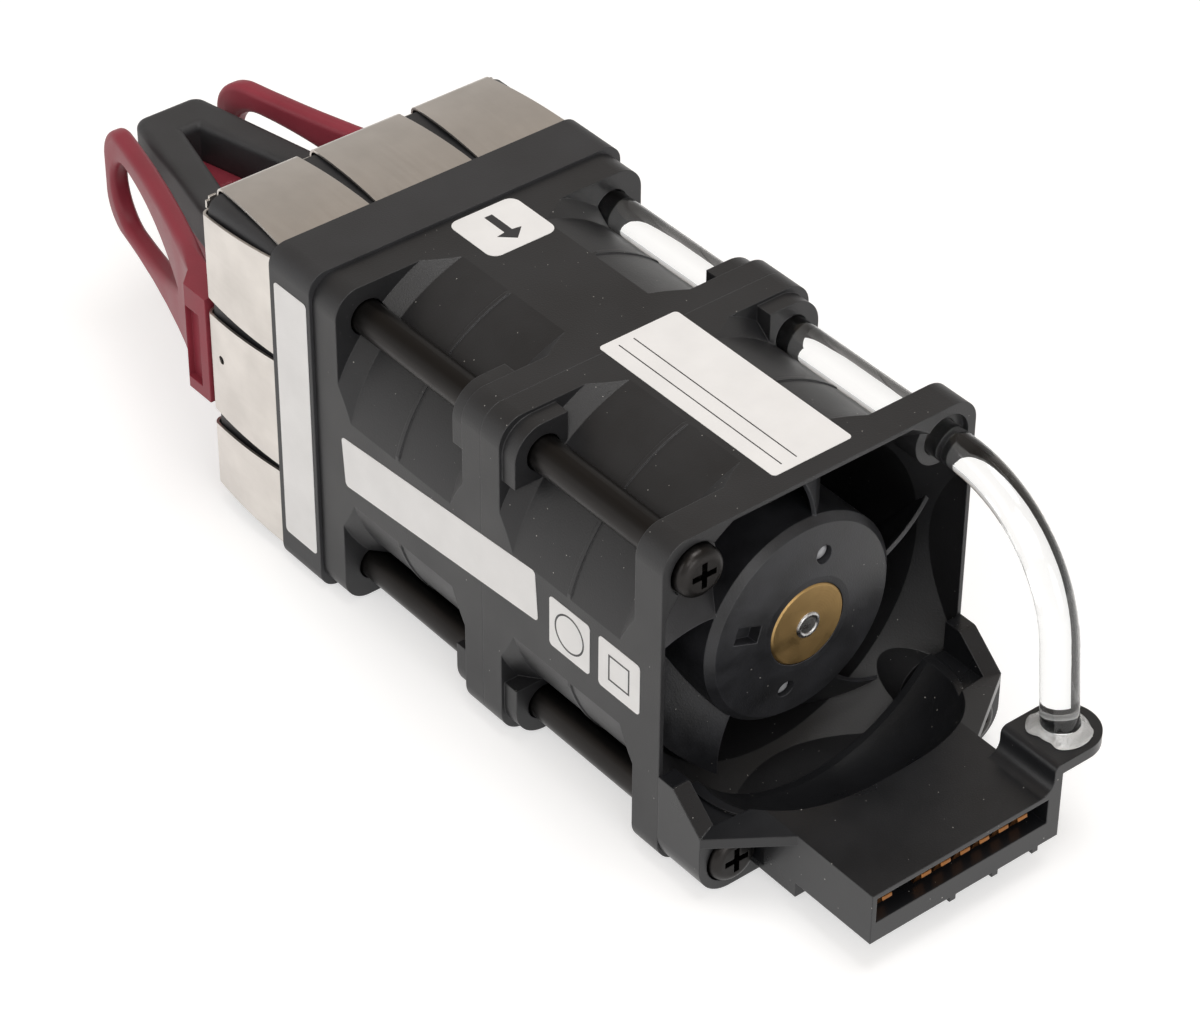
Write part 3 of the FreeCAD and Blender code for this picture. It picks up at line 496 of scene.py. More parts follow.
@dataclass(frozen=True)
class ClearPlastic:
    """Clear or milky plastic with a faintly uneven surface."""

    name: str
    colour: Colour = (0.97, 0.98, 0.98)
    clearness: float = 1.0
    refraction: float = 1.49
    roughness: float = 0.05
    polish: float = 3.0
    unevenness: float = 0.03 * MM
    lump_scale: float = 250.0

    def build(self, shop: EffectShop) -> bpy.types.Material:
        """Make the material.

        Args:
            shop: the shared effects.

        Returns:
            The finished material.
        """
        material, board, shader = new_material(self.name)
        shader.inputs["Base Color"].default_value = (*self.colour, 1.0)
        shader.inputs["Transmission Weight"].default_value = self.clearness
        shader.inputs["IOR"].default_value = self.refraction
        cloud = shop.place(board, Effect.GRAIN, cloud_scale=self.lump_scale).outputs["Cloud"]
        smoothest = self.roughness / self.polish
        board.wire(board.span(cloud, smoothest, self.roughness), shader.inputs["Roughness"])
        board.relief(cloud, self.unevenness, shader)
        return material


@dataclass(frozen=True)
class PrintStock:
    """Label film or printing ink, with a faint mottle."""

    name: str
    colour: Colour
    roughness: float = 0.42
    roughness_spread: Pair = (-0.05, 0.05)
    mottle: float = 0.06
    grain: float = 0.004 * MM
    grain_scale: float = 3000.0
    cloud_scale: float = 220.0

    def build(self, shop: EffectShop) -> bpy.types.Material:
        """Make the material.

        Args:
            shop: the shared effects.

        Returns:
            The finished material.
        """
        material, board, shader = new_material(self.name)
        grain = shop.place(board, Effect.GRAIN, grain_scale=self.grain_scale, cloud_scale=self.cloud_scale)
        cloud = grain.outputs["Cloud"]
        tone = board.mix(board.span(cloud, 0.0, 1.0), self.colour, scaled(self.colour, 1 - self.mottle))
        board.wire(tone, shader.inputs["Base Color"])
        board.wire(board.around(cloud, self.roughness, self.roughness_spread), shader.inputs["Roughness"])
        board.relief(grain.outputs["Height"], self.grain, shader)
        return material


class Finish(Enum):
    """Every finish of the module."""

    FRAME = MouldedPlastic("frame_black", (0.0155, 0.0158, 0.0172), roughness=0.42, edge_wear_and_highlight=4.0,
                           dust=0.8, dust_scale=1100.0)
    # Impeller colour tinted blue as a painted reflection of cool light in the duct; its high edge factor
    # paints a highlight on the hub rim.
    WHEEL = MouldedPlastic("impeller_black", (0.0195, 0.0202, 0.0232), roughness=0.4, tone=0.45,
                           cloud_scale=260.0, edge_wear_and_highlight=4.5, dust=0.5, dust_scale=900.0)
    RIM = MouldedPlastic("carrier_black", (0.026, 0.0265, 0.029), roughness=0.5, dust=0.03)
    # Bracket colour tinted blue as a painted reflection of cool light on the scoop.
    BRACKET = MouldedPlastic("bracket_black", (0.0115, 0.0121, 0.0138), roughness=0.3, grain=0.009 * MM,
                             edge_wear_and_highlight=3.0, dust=0.9, dust_scale=900.0)
    BAIL = MouldedPlastic("bail_grey", (0.036, 0.037, 0.04), roughness=0.5, edge_radius=0.6 * MM,
                          edge_wear_and_highlight=1.5, dust=0.02)
    GRIP = MouldedPlastic("grip_burgundy", (0.27, 0.036, 0.054), roughness=0.42, gloss=0.3, tone=0.1,
                          edge_wear_and_highlight=1.3, dust=0.02, dust_colour=(0.45, 0.3, 0.3))
    PUTTY = MouldedPlastic("balance_putty", (0.4, 0.41, 0.43), roughness=0.26, edge_wear_and_highlight=1.2, dust=0.0)
    BOARD = MouldedPlastic("board_green", (0.02, 0.12, 0.05), roughness=0.35, dust=0.0)
    SHEET = RolledSheet("gasket_sheet", (0.72, 0.685, 0.645))
    STEEL = RolledSheet("bright_steel", (0.6, 0.6, 0.6), roughness=0.25)
    CORE = RolledSheet("core_steel", (0.22, 0.22, 0.23), roughness=0.45)
    OXIDE = RolledSheet("screw_oxide", (0.036, 0.034, 0.033), roughness=0.34)
    BRASS = TurnedMetal("turned_brass", (0.56, 0.37, 0.155), roughness=0.38)
    SHAFT = TurnedMetal("ground_shaft", (0.62, 0.61, 0.6), roughness=0.22)
    COPPER = RolledSheet("coil_copper", (0.6, 0.25, 0.12), roughness=0.35)
    GOLD = RolledSheet("contact_gold", (0.3, 0.13, 0.045), roughness=0.42)
    CLEAR = ClearPlastic("clear_pipe")
    GLUE = ClearPlastic("clear_glue", clearness=0.7, roughness=0.1, unevenness=0.3 * MM, lump_scale=900.0)
    FILM = PrintStock("label_film", (0.9, 0.9, 0.9))
    INK = PrintStock("label_ink", (0.03, 0.03, 0.033))


class Wardrobe:
    """Builds each finish once and dresses pieces with it."""

    def __init__(self) -> None:
        """Build every material."""
        shop = EffectShop()
        self.materials = {finish: finish.value.build(shop) for finish in Finish}

    def dress(self, piece: Piece, finish: Finish) -> None:
        """Give a piece its finish on every slot.

        Args:
            piece: the piece.
            finish: its finish.
        """
        if not piece.material_slots:
            piece.data.materials.append(None)
        for slot in piece.material_slots:
            slot.material = self.materials[finish]

    def dress_node(self, node: str, finish: Finish) -> None:
        """Give a node of the frame its finish."""
        self.dress(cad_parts[node], finish)

    def mount(self, piece: Piece, finish: Finish, body: str = ROOT) -> None:
        """Dress a new piece, let it ride on a body and report it.

        Args:
            piece: the piece.
            finish: its finish.
            body: name of the body that carries it.
        """
        self.dress(piece, finish)
        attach(piece, body)
        LOG.info("piece %s on %s", piece.name, body)


def clear_selection() -> None:
    """Leave nothing selected."""
    bpy.ops.object.select_all(action="DESELECT")


def start_edit() -> Piece:
    """Enter edit mode on the primitive that was just added, with all of it selected.

    Returns:
        The primitive.
    """
    piece = bpy.context.active_object
    bpy.ops.object.mode_set(mode="EDIT")
    bpy.ops.mesh.select_all(action="SELECT")
    return piece


def start_plane(length: float, width: float) -> Piece:
    """Add a flat plane about the origin and enter edit mode on it.

    Args:
        length: its size along X.
        width: its size along Y.

    Returns:
        The plane.
    """
    clear_selection()
    bpy.ops.mesh.primitive_plane_add(size=1.0)
    piece = start_edit()
    bpy.ops.transform.resize(value=(length, width, 1.0))
    return piece


def start_circle(corners: int, radius: float, fill: str = "NGON") -> Piece:
    """Add a circle about the origin and enter edit mode on it.

    Args:
        corners: how many corners it has.
        radius: its radius.
        fill: NGON for a disc, or NOTHING for its edge alone.

    Returns:
        The circle.
    """
    clear_selection()
    bpy.ops.mesh.primitive_circle_add(vertices=corners, radius=radius, fill_type=fill)
    return start_edit()


def end_edit() -> None:
    """Turn every face outward and leave edit mode."""
    bpy.ops.mesh.select_all(action="SELECT")
    bpy.ops.mesh.normals_make_consistent(inside=False)
    bpy.ops.object.mode_set(mode="OBJECT")


def choose(piece: Piece, wanted: Callable[[Vector], bool]) -> None:
    """Select the vertices in edit mode whose place passes a test.

    Args:
        piece: the piece in edit mode.
        wanted: the test of a vertex's place.
    """
    bpy.ops.mesh.select_mode(type="VERT")
    bpy.ops.mesh.select_all(action="DESELECT")
    mesh = bmesh.from_edit_mesh(piece.data)
    for vertex in mesh.verts:
        vertex.select = wanted(vertex.co)
    mesh.select_flush(True)
    bmesh.update_edit_mesh(piece.data)


def raise_selected(height: float) -> None:
    """Extrude what is selected along local Z."""
    bpy.ops.mesh.extrude_region_move(TRANSFORM_OT_translate={"value": (0.0, 0.0, height)})


def settle(piece: Piece, name: str, turn: Matrix, place: Point) -> Piece:
    """Put a piece in its place, with that place in its mesh.

    Args:
        piece: the piece, modelled about the origin.
        name: its name.
        turn: its rotation.
        place: where its origin goes.

    Returns:
        The same piece.
    """
    piece.name = name
    piece.data.name = name
    piece.matrix_world = Matrix.Translation(Vector(place)) @ turn.to_4x4()
    clear_selection()
    piece.select_set(True)
    bpy.context.view_layer.objects.active = piece
    bpy.ops.object.transform_apply(location=True, rotation=True, scale=True)
    return piece


def repeat(pattern: Piece, count: int) -> list[Piece]:
    """Copy a piece that is modelled once, each copy with a mesh of its own.

    Args:
        pattern: the piece.
        count: how many there are in all.

    Returns:
        The piece and its copies.
    """
    pieces = [pattern]
    for _ in range(count - 1):
        copy = pattern.copy()
        copy.data = pattern.data.copy()
        bpy.context.scene.collection.objects.link(copy)
        pieces.append(copy)
    return pieces


def facing(normal: Point, along: Point) -> Matrix:
    """Rotation that lays a flat piece on a face.

    Args:
        normal: the face's outward direction, which local Z takes.
        along: the direction that local X takes.

    Returns:
        The rotation.
    """
    up = Vector(normal).normalized()
    side = Vector(along).normalized()
    return Matrix((side, up.cross(side), up)).transposed()


def turned_ring(corners: int, profile: Sequence[Pair]) -> Piece:
    """Model a closed ring about Z by drawing a circle out along a profile.

    Args:
        corners: how many corners the circle has.
        profile: radius and height of each step, the first and the last at height 0.

    Returns:
        The ring, in edit mode.
    """
    piece = start_circle(corners, profile[0][0], "NOTHING")
    for (radius, height), (next_radius, next_height) in zip(profile, profile[1:]):
        step = (0.0, 0.0, next_height - height)
        bpy.ops.mesh.extrude_edges_move(TRANSFORM_OT_translate={"value": step})
        growth = next_radius / radius
        bpy.ops.transform.resize(value=(growth, growth, 1.0), center_override=(0.0, 0.0, next_height))
    lowest = min(height for _, height in profile[1:-1]) / 2
    choose(piece, lambda place: place.z < lowest)
    bpy.ops.mesh.bridge_edge_loops()
    return piece


@dataclass(frozen=True)
class FanFace:
    """Outer face of one fan: the fan's name, which end of a box the face is at, and its way along Y."""

    name: str
    end: int
    outward: float

    def turn(self) -> Matrix:
        """Rotation that points a piece's Z out of the face."""
        return facing((0.0, self.outward, 0.0), SIDE)

    def level(self, piece: str) -> float:
        """Place along Y where a node of the fan ends at this face."""
        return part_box(f"{self.name}_fan_{piece}")[self.end].y


FAN_FACES = (FanFace("front", 0, -1.0), FanFace("rear", 1, 1.0))


@dataclass(frozen=True)
class Patch:
    """One flat piece with rounded corners on a face: its size, place and lie."""

    name: str
    size: Pair
    place: Point
    normal: Point
    along: Point
    corner: float
    corner_steps: int = 8

    def turn(self) -> Matrix:
        """Rotation that lays a flat piece on the patch."""
        return facing(self.normal, self.along)

    def spot(self, across: float, up: float, lift: float) -> Point:
        """Find a place on the patch.

        Args:
            across: distance from its middle along its length.
            up: distance from its middle across its length.
            lift: height above its face.

        Returns:
            The place in the frame.
        """
        return tuple(Vector(self.place) + self.turn() @ Vector((across, up, lift)))

    def build(self, thickness: float) -> Piece:
        """Model the patch as a thin film.

        Args:
            thickness: the film's thickness.

        Returns:
            The finished piece.
        """
        piece = start_plane(*self.size)
        bpy.ops.mesh.bevel(offset=self.corner, segments=self.corner_steps, affect="VERTICES")
        bpy.ops.mesh.select_all(action="SELECT")
        raise_selected(thickness)
        end_edit()
        return settle(piece, self.name, self.turn(), self.place)


class Outline(Enum):
    """The plain outlines printed on the square labels, each with its number of corners."""

    RING = 48
    SQUARE = 4


@dataclass
class LabelSet:
    """The stuck-on labels, plain but for ruled lines, an arrow along the air's path and two outlines."""

    wardrobe: Wardrobe
    film: float = 0.05 * MM
    ink: float = 0.012 * MM
    corner: float = 0.5 * MM
    flow_corner: float = 1.2 * MM
    side_tilt: float = math.radians(4.6)
    top_size: Pair = (26.7 * MM, 10.1 * MM)
    top_middle: Pair = (-0.6 * MM, 40.4 * MM)
    flow_size: Pair = (7.8 * MM, 8.6 * MM)
    flow_middle: Pair = (-1.1 * MM, 4.5 * MM)
    side_size: Pair = (32.4 * MM, 6.1 * MM)
    side_middle: Pair = (20.7 * MM, 21.4 * MM)
    mark_size: Pair = (6.3 * MM, 6.2 * MM)
    mark_middles: tuple[Pair, ...] = ((42.1 * MM, 21.2 * MM), (49.8 * MM, 21.2 * MM))
    rim_size: Pair = (32.6 * MM, 5.6 * MM)
    rim_middle: Pair = (-3.4 * MM, 20.8 * MM)
    rule_width: float = 0.14 * MM
    rule_widths_per_corner: float = 3.0
    rule_margin: float = 1.0 * MM
    rule_places: tuple[float, ...] = (-1.3 * MM, -3.2 * MM)
    arrow_length: float = 5.0 * MM
    arrow_shaft: float = 1.0 * MM
    arrow_head: float = 3.2 * MM
    arrow_flare: float = 0.12
    arrow_point: float = 0.02
    outline_radius: float = 2.3 * MM
    outline_width: float = 0.22 * MM
    outlines: tuple[Outline, ...] = (Outline.RING, Outline.SQUARE)

    def _patches(self) -> list[Patch]:
        """Set out every label.

        Returns:
            The labels: the ruled one first, the arrow's one second and the outlines' ones last.
        """
        tilted = (0.0, math.cos(self.side_tilt), math.sin(self.side_tilt))
        rim_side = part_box("front_carrier")[1].x
        patches = [
            Patch("top_label", self.top_size, (*self.top_middle, FAN_TOP), UP, BACK, self.corner),
            Patch("flow_label", self.flow_size, (*self.flow_middle, FAN_TOP), UP, BACK, self.flow_corner),
            Patch("side_label", self.side_size, (FAN_SIDE, *self.side_middle), SIDE, tilted, self.corner),
            Patch("rim_label", self.rim_size, (rim_side, *self.rim_middle), SIDE, UP, self.corner),
        ]
        for name, middle in zip(("front_mark_label", "rear_mark_label"), self.mark_middles):
            patches.append(Patch(name, self.mark_size, (FAN_SIDE, *middle), SIDE, BACK, self.corner))
        return patches

    def _rules(self, label: Patch) -> None:
        """Print ruled lines along a label.

        Args:
            label: the label.
        """
        size = (label.size[0] - 2 * self.rule_margin, self.rule_width)
        corner = self.rule_width / self.rule_widths_per_corner
        for number, up in enumerate(self.rule_places, start=1):
            place = label.spot(0.0, up, self.film)
            rule = Patch(f"top_rule_{number}", size, place, label.normal, label.along, corner)
            self.wardrobe.mount(rule.build(self.ink), Finish.INK)

    def _arrow(self, label: Patch) -> None:
        """Print an arrow on a label, drawn out of a plain strip.

        Args:
            label: the label.
        """
        head = self.arrow_head / 2
        piece = start_plane(self.arrow_length - head, self.arrow_shaft)
        bpy.ops.transform.translate(value=(-head / 2, 0.0, 0.0))
        edge = self.arrow_length / 2 - head
        choose(piece, lambda place: place.x > 0.0)
        flare = (head * self.arrow_flare, self.arrow_head / self.arrow_shaft)
        point = (head * (1 - self.arrow_flare), self.arrow_point)
        for step, width in (flare, point):
            bpy.ops.mesh.extrude_edges_move(TRANSFORM_OT_translate={"value": (step, 0.0, 0.0)})
            edge += step
            bpy.ops.transform.resize(value=(1.0, width, 1.0), center_override=(edge, 0.0, 0.0))
        bpy.ops.mesh.select_all(action="SELECT")
        raise_selected(self.ink)
        end_edit()
        settle(piece, "flow_arrow", label.turn(), label.spot(0.0, 0.0, self.film))
        self.wardrobe.mount(piece, Finish.INK)

    def _outline(self, label: Patch, outline: Outline) -> None:
        """Print a plain outline in the middle of a label.

        Args:
            label: the label.
            outline: which outline.
        """
        piece = start_circle(outline.value, self.outline_radius)
        if outline is Outline.SQUARE:
            bpy.ops.transform.rotate(value=math.pi / 4, orient_axis="Z", center_override=ORIGIN)
        bpy.ops.mesh.inset(thickness=self.outline_width)
        bpy.ops.mesh.delete(type="FACE")
        bpy.ops.mesh.select_all(action="SELECT")
        raise_selected(self.ink)
        end_edit()
        name = label.name.replace("label", "outline")
        settle(piece, name, label.turn(), label.spot(0.0, 0.0, self.film))
        self.wardrobe.mount(piece, Finish.INK)

    def build(self) -> None:
        """Model, dress and mount every label and its print."""
        patches = self._patches()
        for patch in patches:
            self.wardrobe.mount(patch.build(self.film), Finish.FILM)
        self._rules(patches[0])
        self._arrow(patches[1])
        for patch, outline in zip(patches[-len(self.outlines):], self.outlines):
            self._outline(patch, outline)


@dataclass
class RoundedGrips:
    """Levers and handle insert with the round edges of mouldings, each in the place of its plain node."""

    wardrobe: Wardrobe
    weld: float = 0.001 * MM
    flat: float = math.radians(1.0)
    sharp: float = math.radians(35.0)
    lever_edge: float = 0.85 * MM
    insert_edge: float = 0.7 * MM
    segments: int = 5
    plain_root: float = 6.2 * MM

    def _choose_edges(self, piece: Piece) -> None:
        """Select the sharp outer edges in front of the root.

        Args:
            piece: the piece in edit mode.
        """
        grip_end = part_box("front_carrier")[0].y - self.plain_root
        bpy.ops.mesh.select_mode(type="EDGE")
        bpy.ops.mesh.select_all(action="DESELECT")
        mesh = bmesh.from_edit_mesh(piece.data)
        for edge in mesh.edges:
            middle = (edge.verts[0].co.y + edge.verts[1].co.y) / 2
            edge.select_set(middle < grip_end and edge.calc_face_angle_signed(0.0) > self.sharp)
        bmesh.update_edit_mesh(piece.data)

    def _rounded(self, node: str, radius: float) -> Piece:
        """Copy a node, weld and clean the copy's mesh, and round its edges.

        Args:
            node: the node's name.
            radius: size of the rounds.

        Returns:
            The rounded copy.
        """
        clear_selection()
        piece = bpy.data.objects.new(node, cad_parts[node].data.copy())
        bpy.context.scene.collection.objects.link(piece)
        bpy.context.view_layer.objects.active = piece
        piece.select_set(True)
        bpy.ops.mesh.customdata_custom_splitnormals_clear()
        start_edit()
        bpy.ops.mesh.remove_doubles(threshold=self.weld)
        bpy.ops.mesh.dissolve_limited(angle_limit=self.flat)
        self._choose_edges(piece)
        bpy.ops.mesh.bevel(offset=radius, segments=self.segments, affect="EDGES", clamp_overlap=False)
        end_edit()
        bpy.ops.object.shade_smooth_by_angle(angle=self.sharp)
        return piece

    def build(self) -> None:
        """Round each piece, put it in the place of its node and mount it."""
        grips = (
            ("left_release_lever", "left_lever_grip", "left_lever", self.lever_edge),
            ("right_release_lever", "right_lever_grip", "right_lever", self.lever_edge),
            ("handle_insert", "insert_grip", ROOT, self.insert_edge),
        )
        for node, name, body, radius in grips:
            piece = settle(self._rounded(node, radius), name, UNTURNED, ORIGIN)
            self.wardrobe.mount(piece, Finish.GRIP, body)
            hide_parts(node)


@dataclass
class PipeGlue:
    """Clear glue round the foot of the light pipe: a low uneven ring on the lug."""

    wardrobe: Wardrobe
    middle: Pair = (-14.64 * MM, 75.99 * MM)
    lift: float = 0.01 * MM
    corners: int = 40
    profile: tuple[Pair, ...] = (
        (2.04 * MM, 0.0), (2.04 * MM, 0.6 * MM), (2.05 * MM, 1.05 * MM), (2.15 * MM, 0.9 * MM),
        (2.5 * MM, 0.5 * MM), (3.0 * MM, 0.3 * MM), (3.2 * MM, 0.0))
    skirt: float = 2.25 * MM
    lobes: tuple[tuple[float, float, float], ...] = (
        (40.0, 140.0, 1.1), (-75.0, -20.0, 1.12), (-12.0, 30.0, 0.82))
    rounding_levels: int = 2

    def build(self) -> None:
        """Model the ring from a circle, swell or shrink its skirt in lobes, round it and mount it."""
        piece = turned_ring(self.corners, self.profile)
        for start, end, growth in self.lobes:
            choose(piece, lambda place: place.xy.length > self.skirt
                   and start < math.degrees(math.atan2(place.y, place.x)) < end)
            bpy.ops.transform.resize(value=(growth, growth, 1.0), center_override=ORIGIN)
        end_edit()
        rounding = piece.modifiers.new("rounding", "SUBSURF")
        rounding.levels = rounding.render_levels = self.rounding_levels
        bpy.ops.object.modifier_apply(modifier=rounding.name)
        bpy.ops.object.shade_smooth()
        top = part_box("connector_bracket")[1].z + self.lift
        settle(piece, "pipe_glue", UNTURNED, (*self.middle, top))
        self.wardrobe.mount(piece, Finish.GLUE)


@dataclass
class ContactTips:
    """Bent-over tips of the spring contacts, each on the sloping end of its contact."""

    wardrobe: Wardrobe
    places: tuple[int, ...] = (0, 2, 3, 4, 5, 6, 7)
    width: float = 1.3 * MM
    thickness: float = 0.3 * MM
    seat: float = 0.02 * MM
    drop: float = 0.72 * MM
    bends: tuple[Pair, ...] = (
        (0.04 * MM, -0.16 * MM), (0.06 * MM, -0.2 * MM), (-0.04 * MM, -0.16 * MM))
    edge: float = 0.09 * MM
    edge_steps: int = 2
    smooth: float = math.radians(50.0)

    def _tip(self) -> Piece:
        """Model one tip as a strip drawn downward through its bends.

        Returns:
            The tip, with the middle of its upper end at the origin.
        """
        piece = start_plane(self.width, self.thickness)
        for outward, rise in self.bends:
            bpy.ops.mesh.extrude_region_move(TRANSFORM_OT_translate={"value": (0.0, outward, rise)})
        bpy.ops.mesh.select_all(action="SELECT")
        bpy.ops.mesh.bevel(offset=self.edge, segments=self.edge_steps)
        end_edit()
        bpy.ops.object.shade_smooth_by_angle(angle=self.smooth)
        return piece

    def build(self) -> None:
        """Copy the tip to every contact and mount it."""
        low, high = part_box("connector_contacts")
        first = high.x - self.width / 2
        pitch = (high.x - low.x - self.width) / self.places[-1]
        pieces = repeat(self._tip(), len(self.places))
        for number, (piece, step) in enumerate(zip(pieces, self.places), start=1):
            place = (first - step * pitch, high.y + self.seat, high.z - self.drop)
            settle(piece, f"contact_tip_{number}", UNTURNED, place)
            self.wardrobe.mount(piece, Finish.GOLD)


@dataclass
class BalancePutty:
    """Drops of putty in the balance holes of both hubs."""

    wardrobe: Wardrobe
    corners: int = 24
    radius: float = 0.94 * MM
    orbit: float = 7.8 * MM
    turn: float = math.radians(-16.0)
    depth: float = 2.9 * MM
    side: float = 0.45 * MM
    steps: tuple[Pair, ...] = (
        (0.16 * MM, 0.12 * MM), (0.24 * MM, 0.1 * MM), (0.28 * MM, 0.05 * MM))
    smooth: float = math.radians(60.0)

    def _drop(self) -> Piece:
        """Model one drop from a disc.

        Returns:
            The drop, about the origin with its crown along Z.
        """
        piece = start_circle(self.corners, self.radius)
        raise_selected(self.side)
        for inset, rise in self.steps:
            bpy.ops.mesh.inset(thickness=inset)
            bpy.ops.transform.translate(value=(0.0, 0.0, rise))
        end_edit()
        bpy.ops.object.shade_smooth_by_angle(angle=self.smooth)
        return piece

    def build(self) -> None:
        """Copy the drop into every balance hole and mount it on its rotor."""
        across, up = self.orbit * math.sin(self.turn), self.orbit * math.cos(self.turn)
        holes = [(face, number, side) for face in FAN_FACES for number, side in ((1, 1.0), (2, -1.0))]
        for piece, (face, number, side) in zip(repeat(self._drop(), len(holes)), holes):
            base = face.level("housing") - face.outward * self.depth
            place = (side * across, base, AXIS_Z + side * up)
            settle(piece, f"{face.name}_putty_{number}", face.turn(), place)
            self.wardrobe.mount(piece, Finish.PUTTY, f"{face.name}_rotor")


@dataclass
class ShaftRims:
    """Rolled rim round the end of each shaft."""

    wardrobe: Wardrobe
    corners: int = 40
    profile: tuple[Pair, ...] = (
        (0.95 * MM, 0.0), (1.02 * MM, 0.07 * MM), (1.15 * MM, 0.13 * MM), (1.3 * MM, 0.13 * MM),
        (1.42 * MM, 0.07 * MM), (1.46 * MM, 0.0))
    smooth: float = math.radians(60.0)

    def build(self) -> None:
        """Model the rim once, copy it to both shafts and mount it."""
        pattern = turned_ring(self.corners, self.profile)
        end_edit()
        bpy.ops.object.shade_smooth_by_angle(angle=self.smooth)
        for piece, face in zip(repeat(pattern, len(FAN_FACES)), FAN_FACES):
            settle(piece, f"{face.name}_shaft_rim", face.turn(), (0.0, face.level("shaft"), AXIS_Z))
            self.wardrobe.mount(piece, Finish.STEEL, f"{face.name}_rotor")


@dataclass
class FrameLooks:
    """Finishes of the frame's own nodes."""

    wardrobe: Wardrobe

    FAN_FINISH = {
        "housing": Finish.FRAME, "impeller": Finish.WHEEL, "rotor_yoke": Finish.STEEL,
        "ring_magnet": Finish.CORE, "shaft_boss": Finish.BRASS, "shaft": Finish.SHAFT,
        "shaft_clip": Finish.STEEL, "outer_bearing": Finish.STEEL, "inner_bearing": Finish.STEEL,
        "bearing_tube": Finish.BRASS, "stator_core": Finish.CORE, "stator_windings": Finish.COPPER,
        "motor_board": Finish.BOARD,
    }
    OTHER_FINISH = {
        "front_carrier": Finish.RIM, "upper_grille": Finish.OXIDE, "lower_grille": Finish.OXIDE,
        "emi_gasket": Finish.SHEET, "handle": Finish.BAIL,
        "left_lever_pin": Finish.STEEL, "right_lever_pin": Finish.STEEL,
        "left_lever_spring": Finish.STEEL, "right_lever_spring": Finish.STEEL,
        "long_screws": Finish.OXIDE, "light_pipe": Finish.CLEAR,
        "connector_bracket": Finish.BRACKET, "connector_contacts": Finish.GOLD,
    }

    def build(self) -> None:
        """Dress every node of the frame that no piece replaces."""
        for face in FAN_FACES:
            for piece, finish in self.FAN_FINISH.items():
                self.wardrobe.dress_node(f"{face.name}_fan_{piece}", finish)
        for node, finish in self.OTHER_FINISH.items():
            self.wardrobe.dress_node(node, finish)


@dataclass(frozen=True)
class Lamp:
    """One soft box: where it stands, how large and how strong it is."""

    name: str
    place: Point
    size: float
    power: float

    def build(self, target: Vector) -> None:
        """Add the lamp, turned to the target.

        Args:
            target: the place that it points at.
        """
        data = bpy.data.lights.new(self.name, "AREA")
        data.shape = "DISK"
        data.size = self.size
        data.energy = self.power
        lamp = bpy.data.objects.new(self.name, data)
        bpy.context.scene.collection.objects.link(lamp)
        lamp.location = self.place
        lamp.rotation_euler = (target - Vector(self.place)).to_track_quat("-Z", "Y").to_euler()


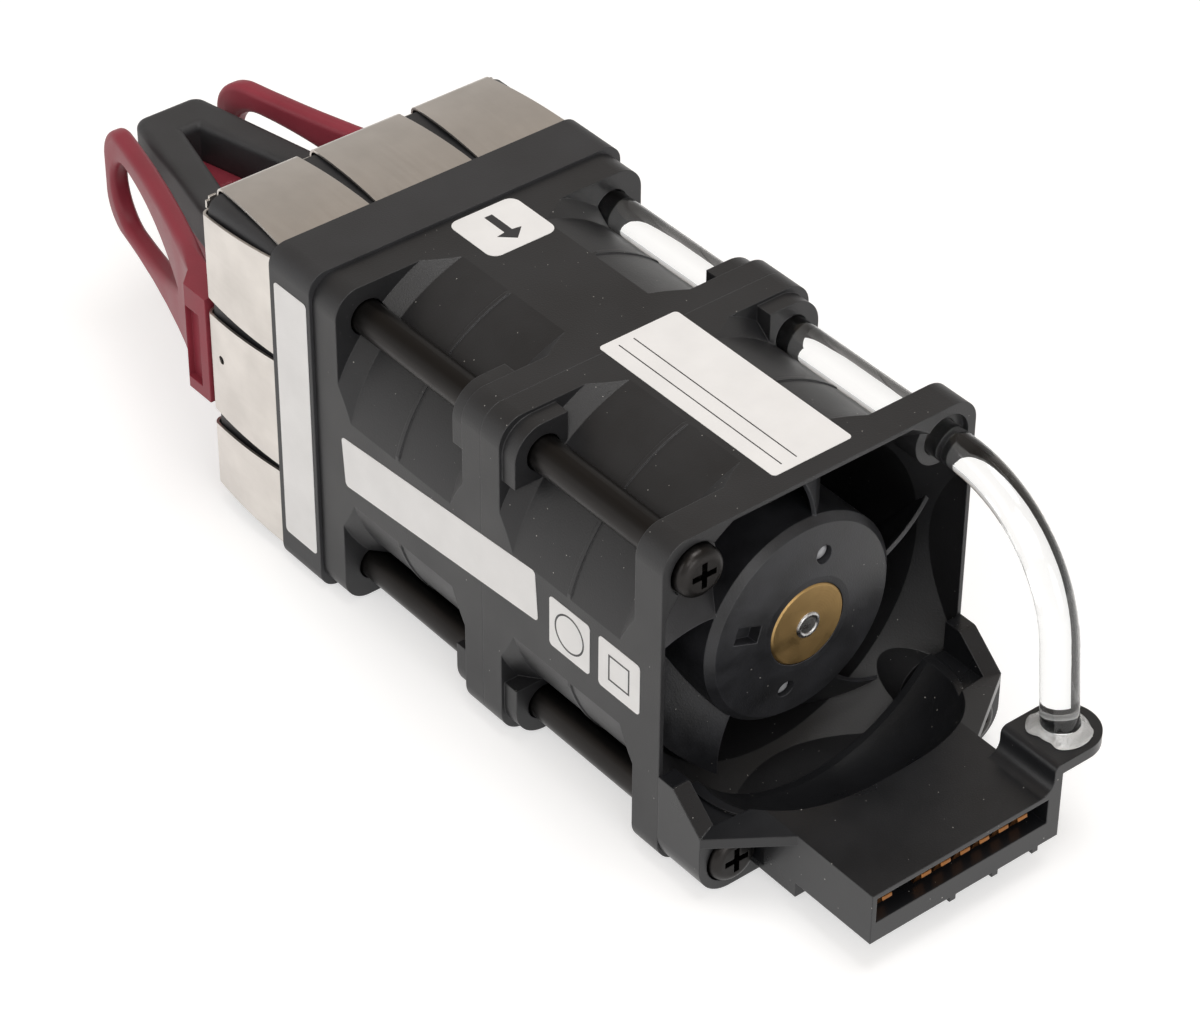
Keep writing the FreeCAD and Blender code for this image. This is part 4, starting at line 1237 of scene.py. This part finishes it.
@dataclass
class Studio:
    """Floor, light and camera."""

    image: tuple[int, int] = (1200, 1009)
    sensor: float = 36.0
    focal_pixels: float = 4101.54
    optical_centre: Pair = (613.97, 510.63)
    azimuth: float = math.radians(140.591)
    elevation: float = math.radians(38.272)
    roll: float = math.radians(0.6155)
    camera_place: Point = (212.244 * MM, 282.704 * MM, 279.747 * MM)
    clip_start: float = 10 * MM
    target: Point = (0.0, 20.0 * MM, 20.0 * MM)
    floor_size: float = 6.0
    floor_colour: Colour = (0.6, 0.6, 0.6)
    floor_roughness: float = 0.8
    near_glow: float = 0.55
    far_glow: float = 0.85
    glow_reach: Pair = (0.3, 1.0)
    wall_colour: Colour = (0.74, 0.735, 0.73)
    ceiling_colour: Colour = (0.345, 0.296, 0.25)
    ceiling_reach: Pair = (0.0, 0.8)
    lamps: tuple[Lamp, ...] = (
        Lamp("key_lamp", (0.5, 0.6, 0.8), 0.6, 2.0),
        Lamp("top_lamp", (-0.05, 0.15, 1.1), 0.6, 4.3),
        Lamp("side_lamp", (0.9, -0.2, 0.4), 0.6, 1.2),
        Lamp("rear_lamp", (0.15, 1.0, 0.35), 0.5, 2.0),
    )

    def build(self) -> None:
        """Set up the whole studio."""
        self._floor()
        self._world()
        for lamp in self.lamps:
            lamp.build(Vector(self.target))
        self._camera()
        bpy.context.scene.view_settings.view_transform = "Standard"

    def _floor(self) -> None:
        """Lay a pale floor that shows white to the camera and keeps the shadow."""
        clear_selection()
        bpy.ops.mesh.primitive_plane_add(size=self.floor_size, location=(0.0, 0.0, CAD_BOX[0][2]))
        floor = bpy.context.active_object
        floor.name = "floor"
        material, board, shader = new_material("pale_floor")
        shader.inputs["Base Color"].default_value = (*self.floor_colour, 1.0)
        shader.inputs["Roughness"].default_value = self.floor_roughness
        shader.inputs["Emission Color"].default_value = (*WHITE, 1.0)
        path = board.add("ShaderNodeLightPath")
        seen = board.math("MAXIMUM", path.outputs["Is Camera Ray"], path.outputs["Is Glossy Ray"])
        seen = board.math("MAXIMUM", seen, path.outputs["Is Transmission Ray"])
        length = board.add("ShaderNodeVectorMath", operation="LENGTH")
        board.wire(board.add("ShaderNodeTexCoord").outputs["Object"], length.inputs[0])
        glow = board.span(length.outputs["Value"], self.near_glow, self.far_glow, self.glow_reach)
        board.wire(board.math("MULTIPLY", seen, glow), shader.inputs["Emission Strength"])
        floor.data.materials.append(material)

    def _world(self) -> None:
        """Paint a warm grey room, white where the camera sees past the floor."""
        world = bpy.data.worlds.new("room")
        bpy.context.scene.world = world
        world.use_nodes = True
        board = NodeBoard(world.node_tree)
        back = world.node_tree.nodes["Background"]
        parts = board.add("ShaderNodeSeparateXYZ")
        board.wire(board.add("ShaderNodeTexCoord").outputs["Generated"], parts.inputs[0])
        height = board.span(parts.outputs["Z"], 0.0, 1.0, self.ceiling_reach)
        room = board.mix(height, self.wall_colour, self.ceiling_colour)
        seen = board.add("ShaderNodeLightPath").outputs["Is Camera Ray"]
        board.wire(board.mix(seen, room, WHITE), back.inputs["Color"])

    def _camera(self) -> None:
        """Place the camera at the place and angle of the photograph."""
        data = bpy.data.cameras.new("camera")
        width, height = self.image
        data.sensor_width = self.sensor
        data.lens = self.focal_pixels * self.sensor / width
        data.shift_x = (width / 2 - self.optical_centre[0]) / width
        data.shift_y = (self.optical_centre[1] - height / 2) / width
        data.clip_start = self.clip_start
        back = Vector((math.sin(self.azimuth) * math.cos(self.elevation),
                       -math.cos(self.azimuth) * math.cos(self.elevation), math.sin(self.elevation)))
        right = Vector((math.cos(self.azimuth), math.sin(self.azimuth), 0.0))
        upward = back.cross(right)
        cosine, sine = math.cos(self.roll), math.sin(self.roll)
        axes = Matrix((cosine * right + sine * upward, cosine * upward - sine * right, back)).transposed()
        camera = bpy.data.objects.new("camera", data)
        bpy.context.scene.collection.objects.link(camera)
        camera.matrix_world = Matrix.Translation(Vector(self.camera_place)) @ axes.to_4x4()
        bpy.context.scene.camera = camera


def main() -> None:
    logging.basicConfig(level=logging.INFO)
    wardrobe = Wardrobe()
    for assembly in (FrameLooks(wardrobe), RoundedGrips(wardrobe), LabelSet(wardrobe), PipeGlue(wardrobe),
                     ContactTips(wardrobe), BalancePutty(wardrobe), ShaftRims(wardrobe), Studio()):
        assembly.build()
        LOG.info("built %s", type(assembly).__name__)


if __name__ == "__main__":
    main()
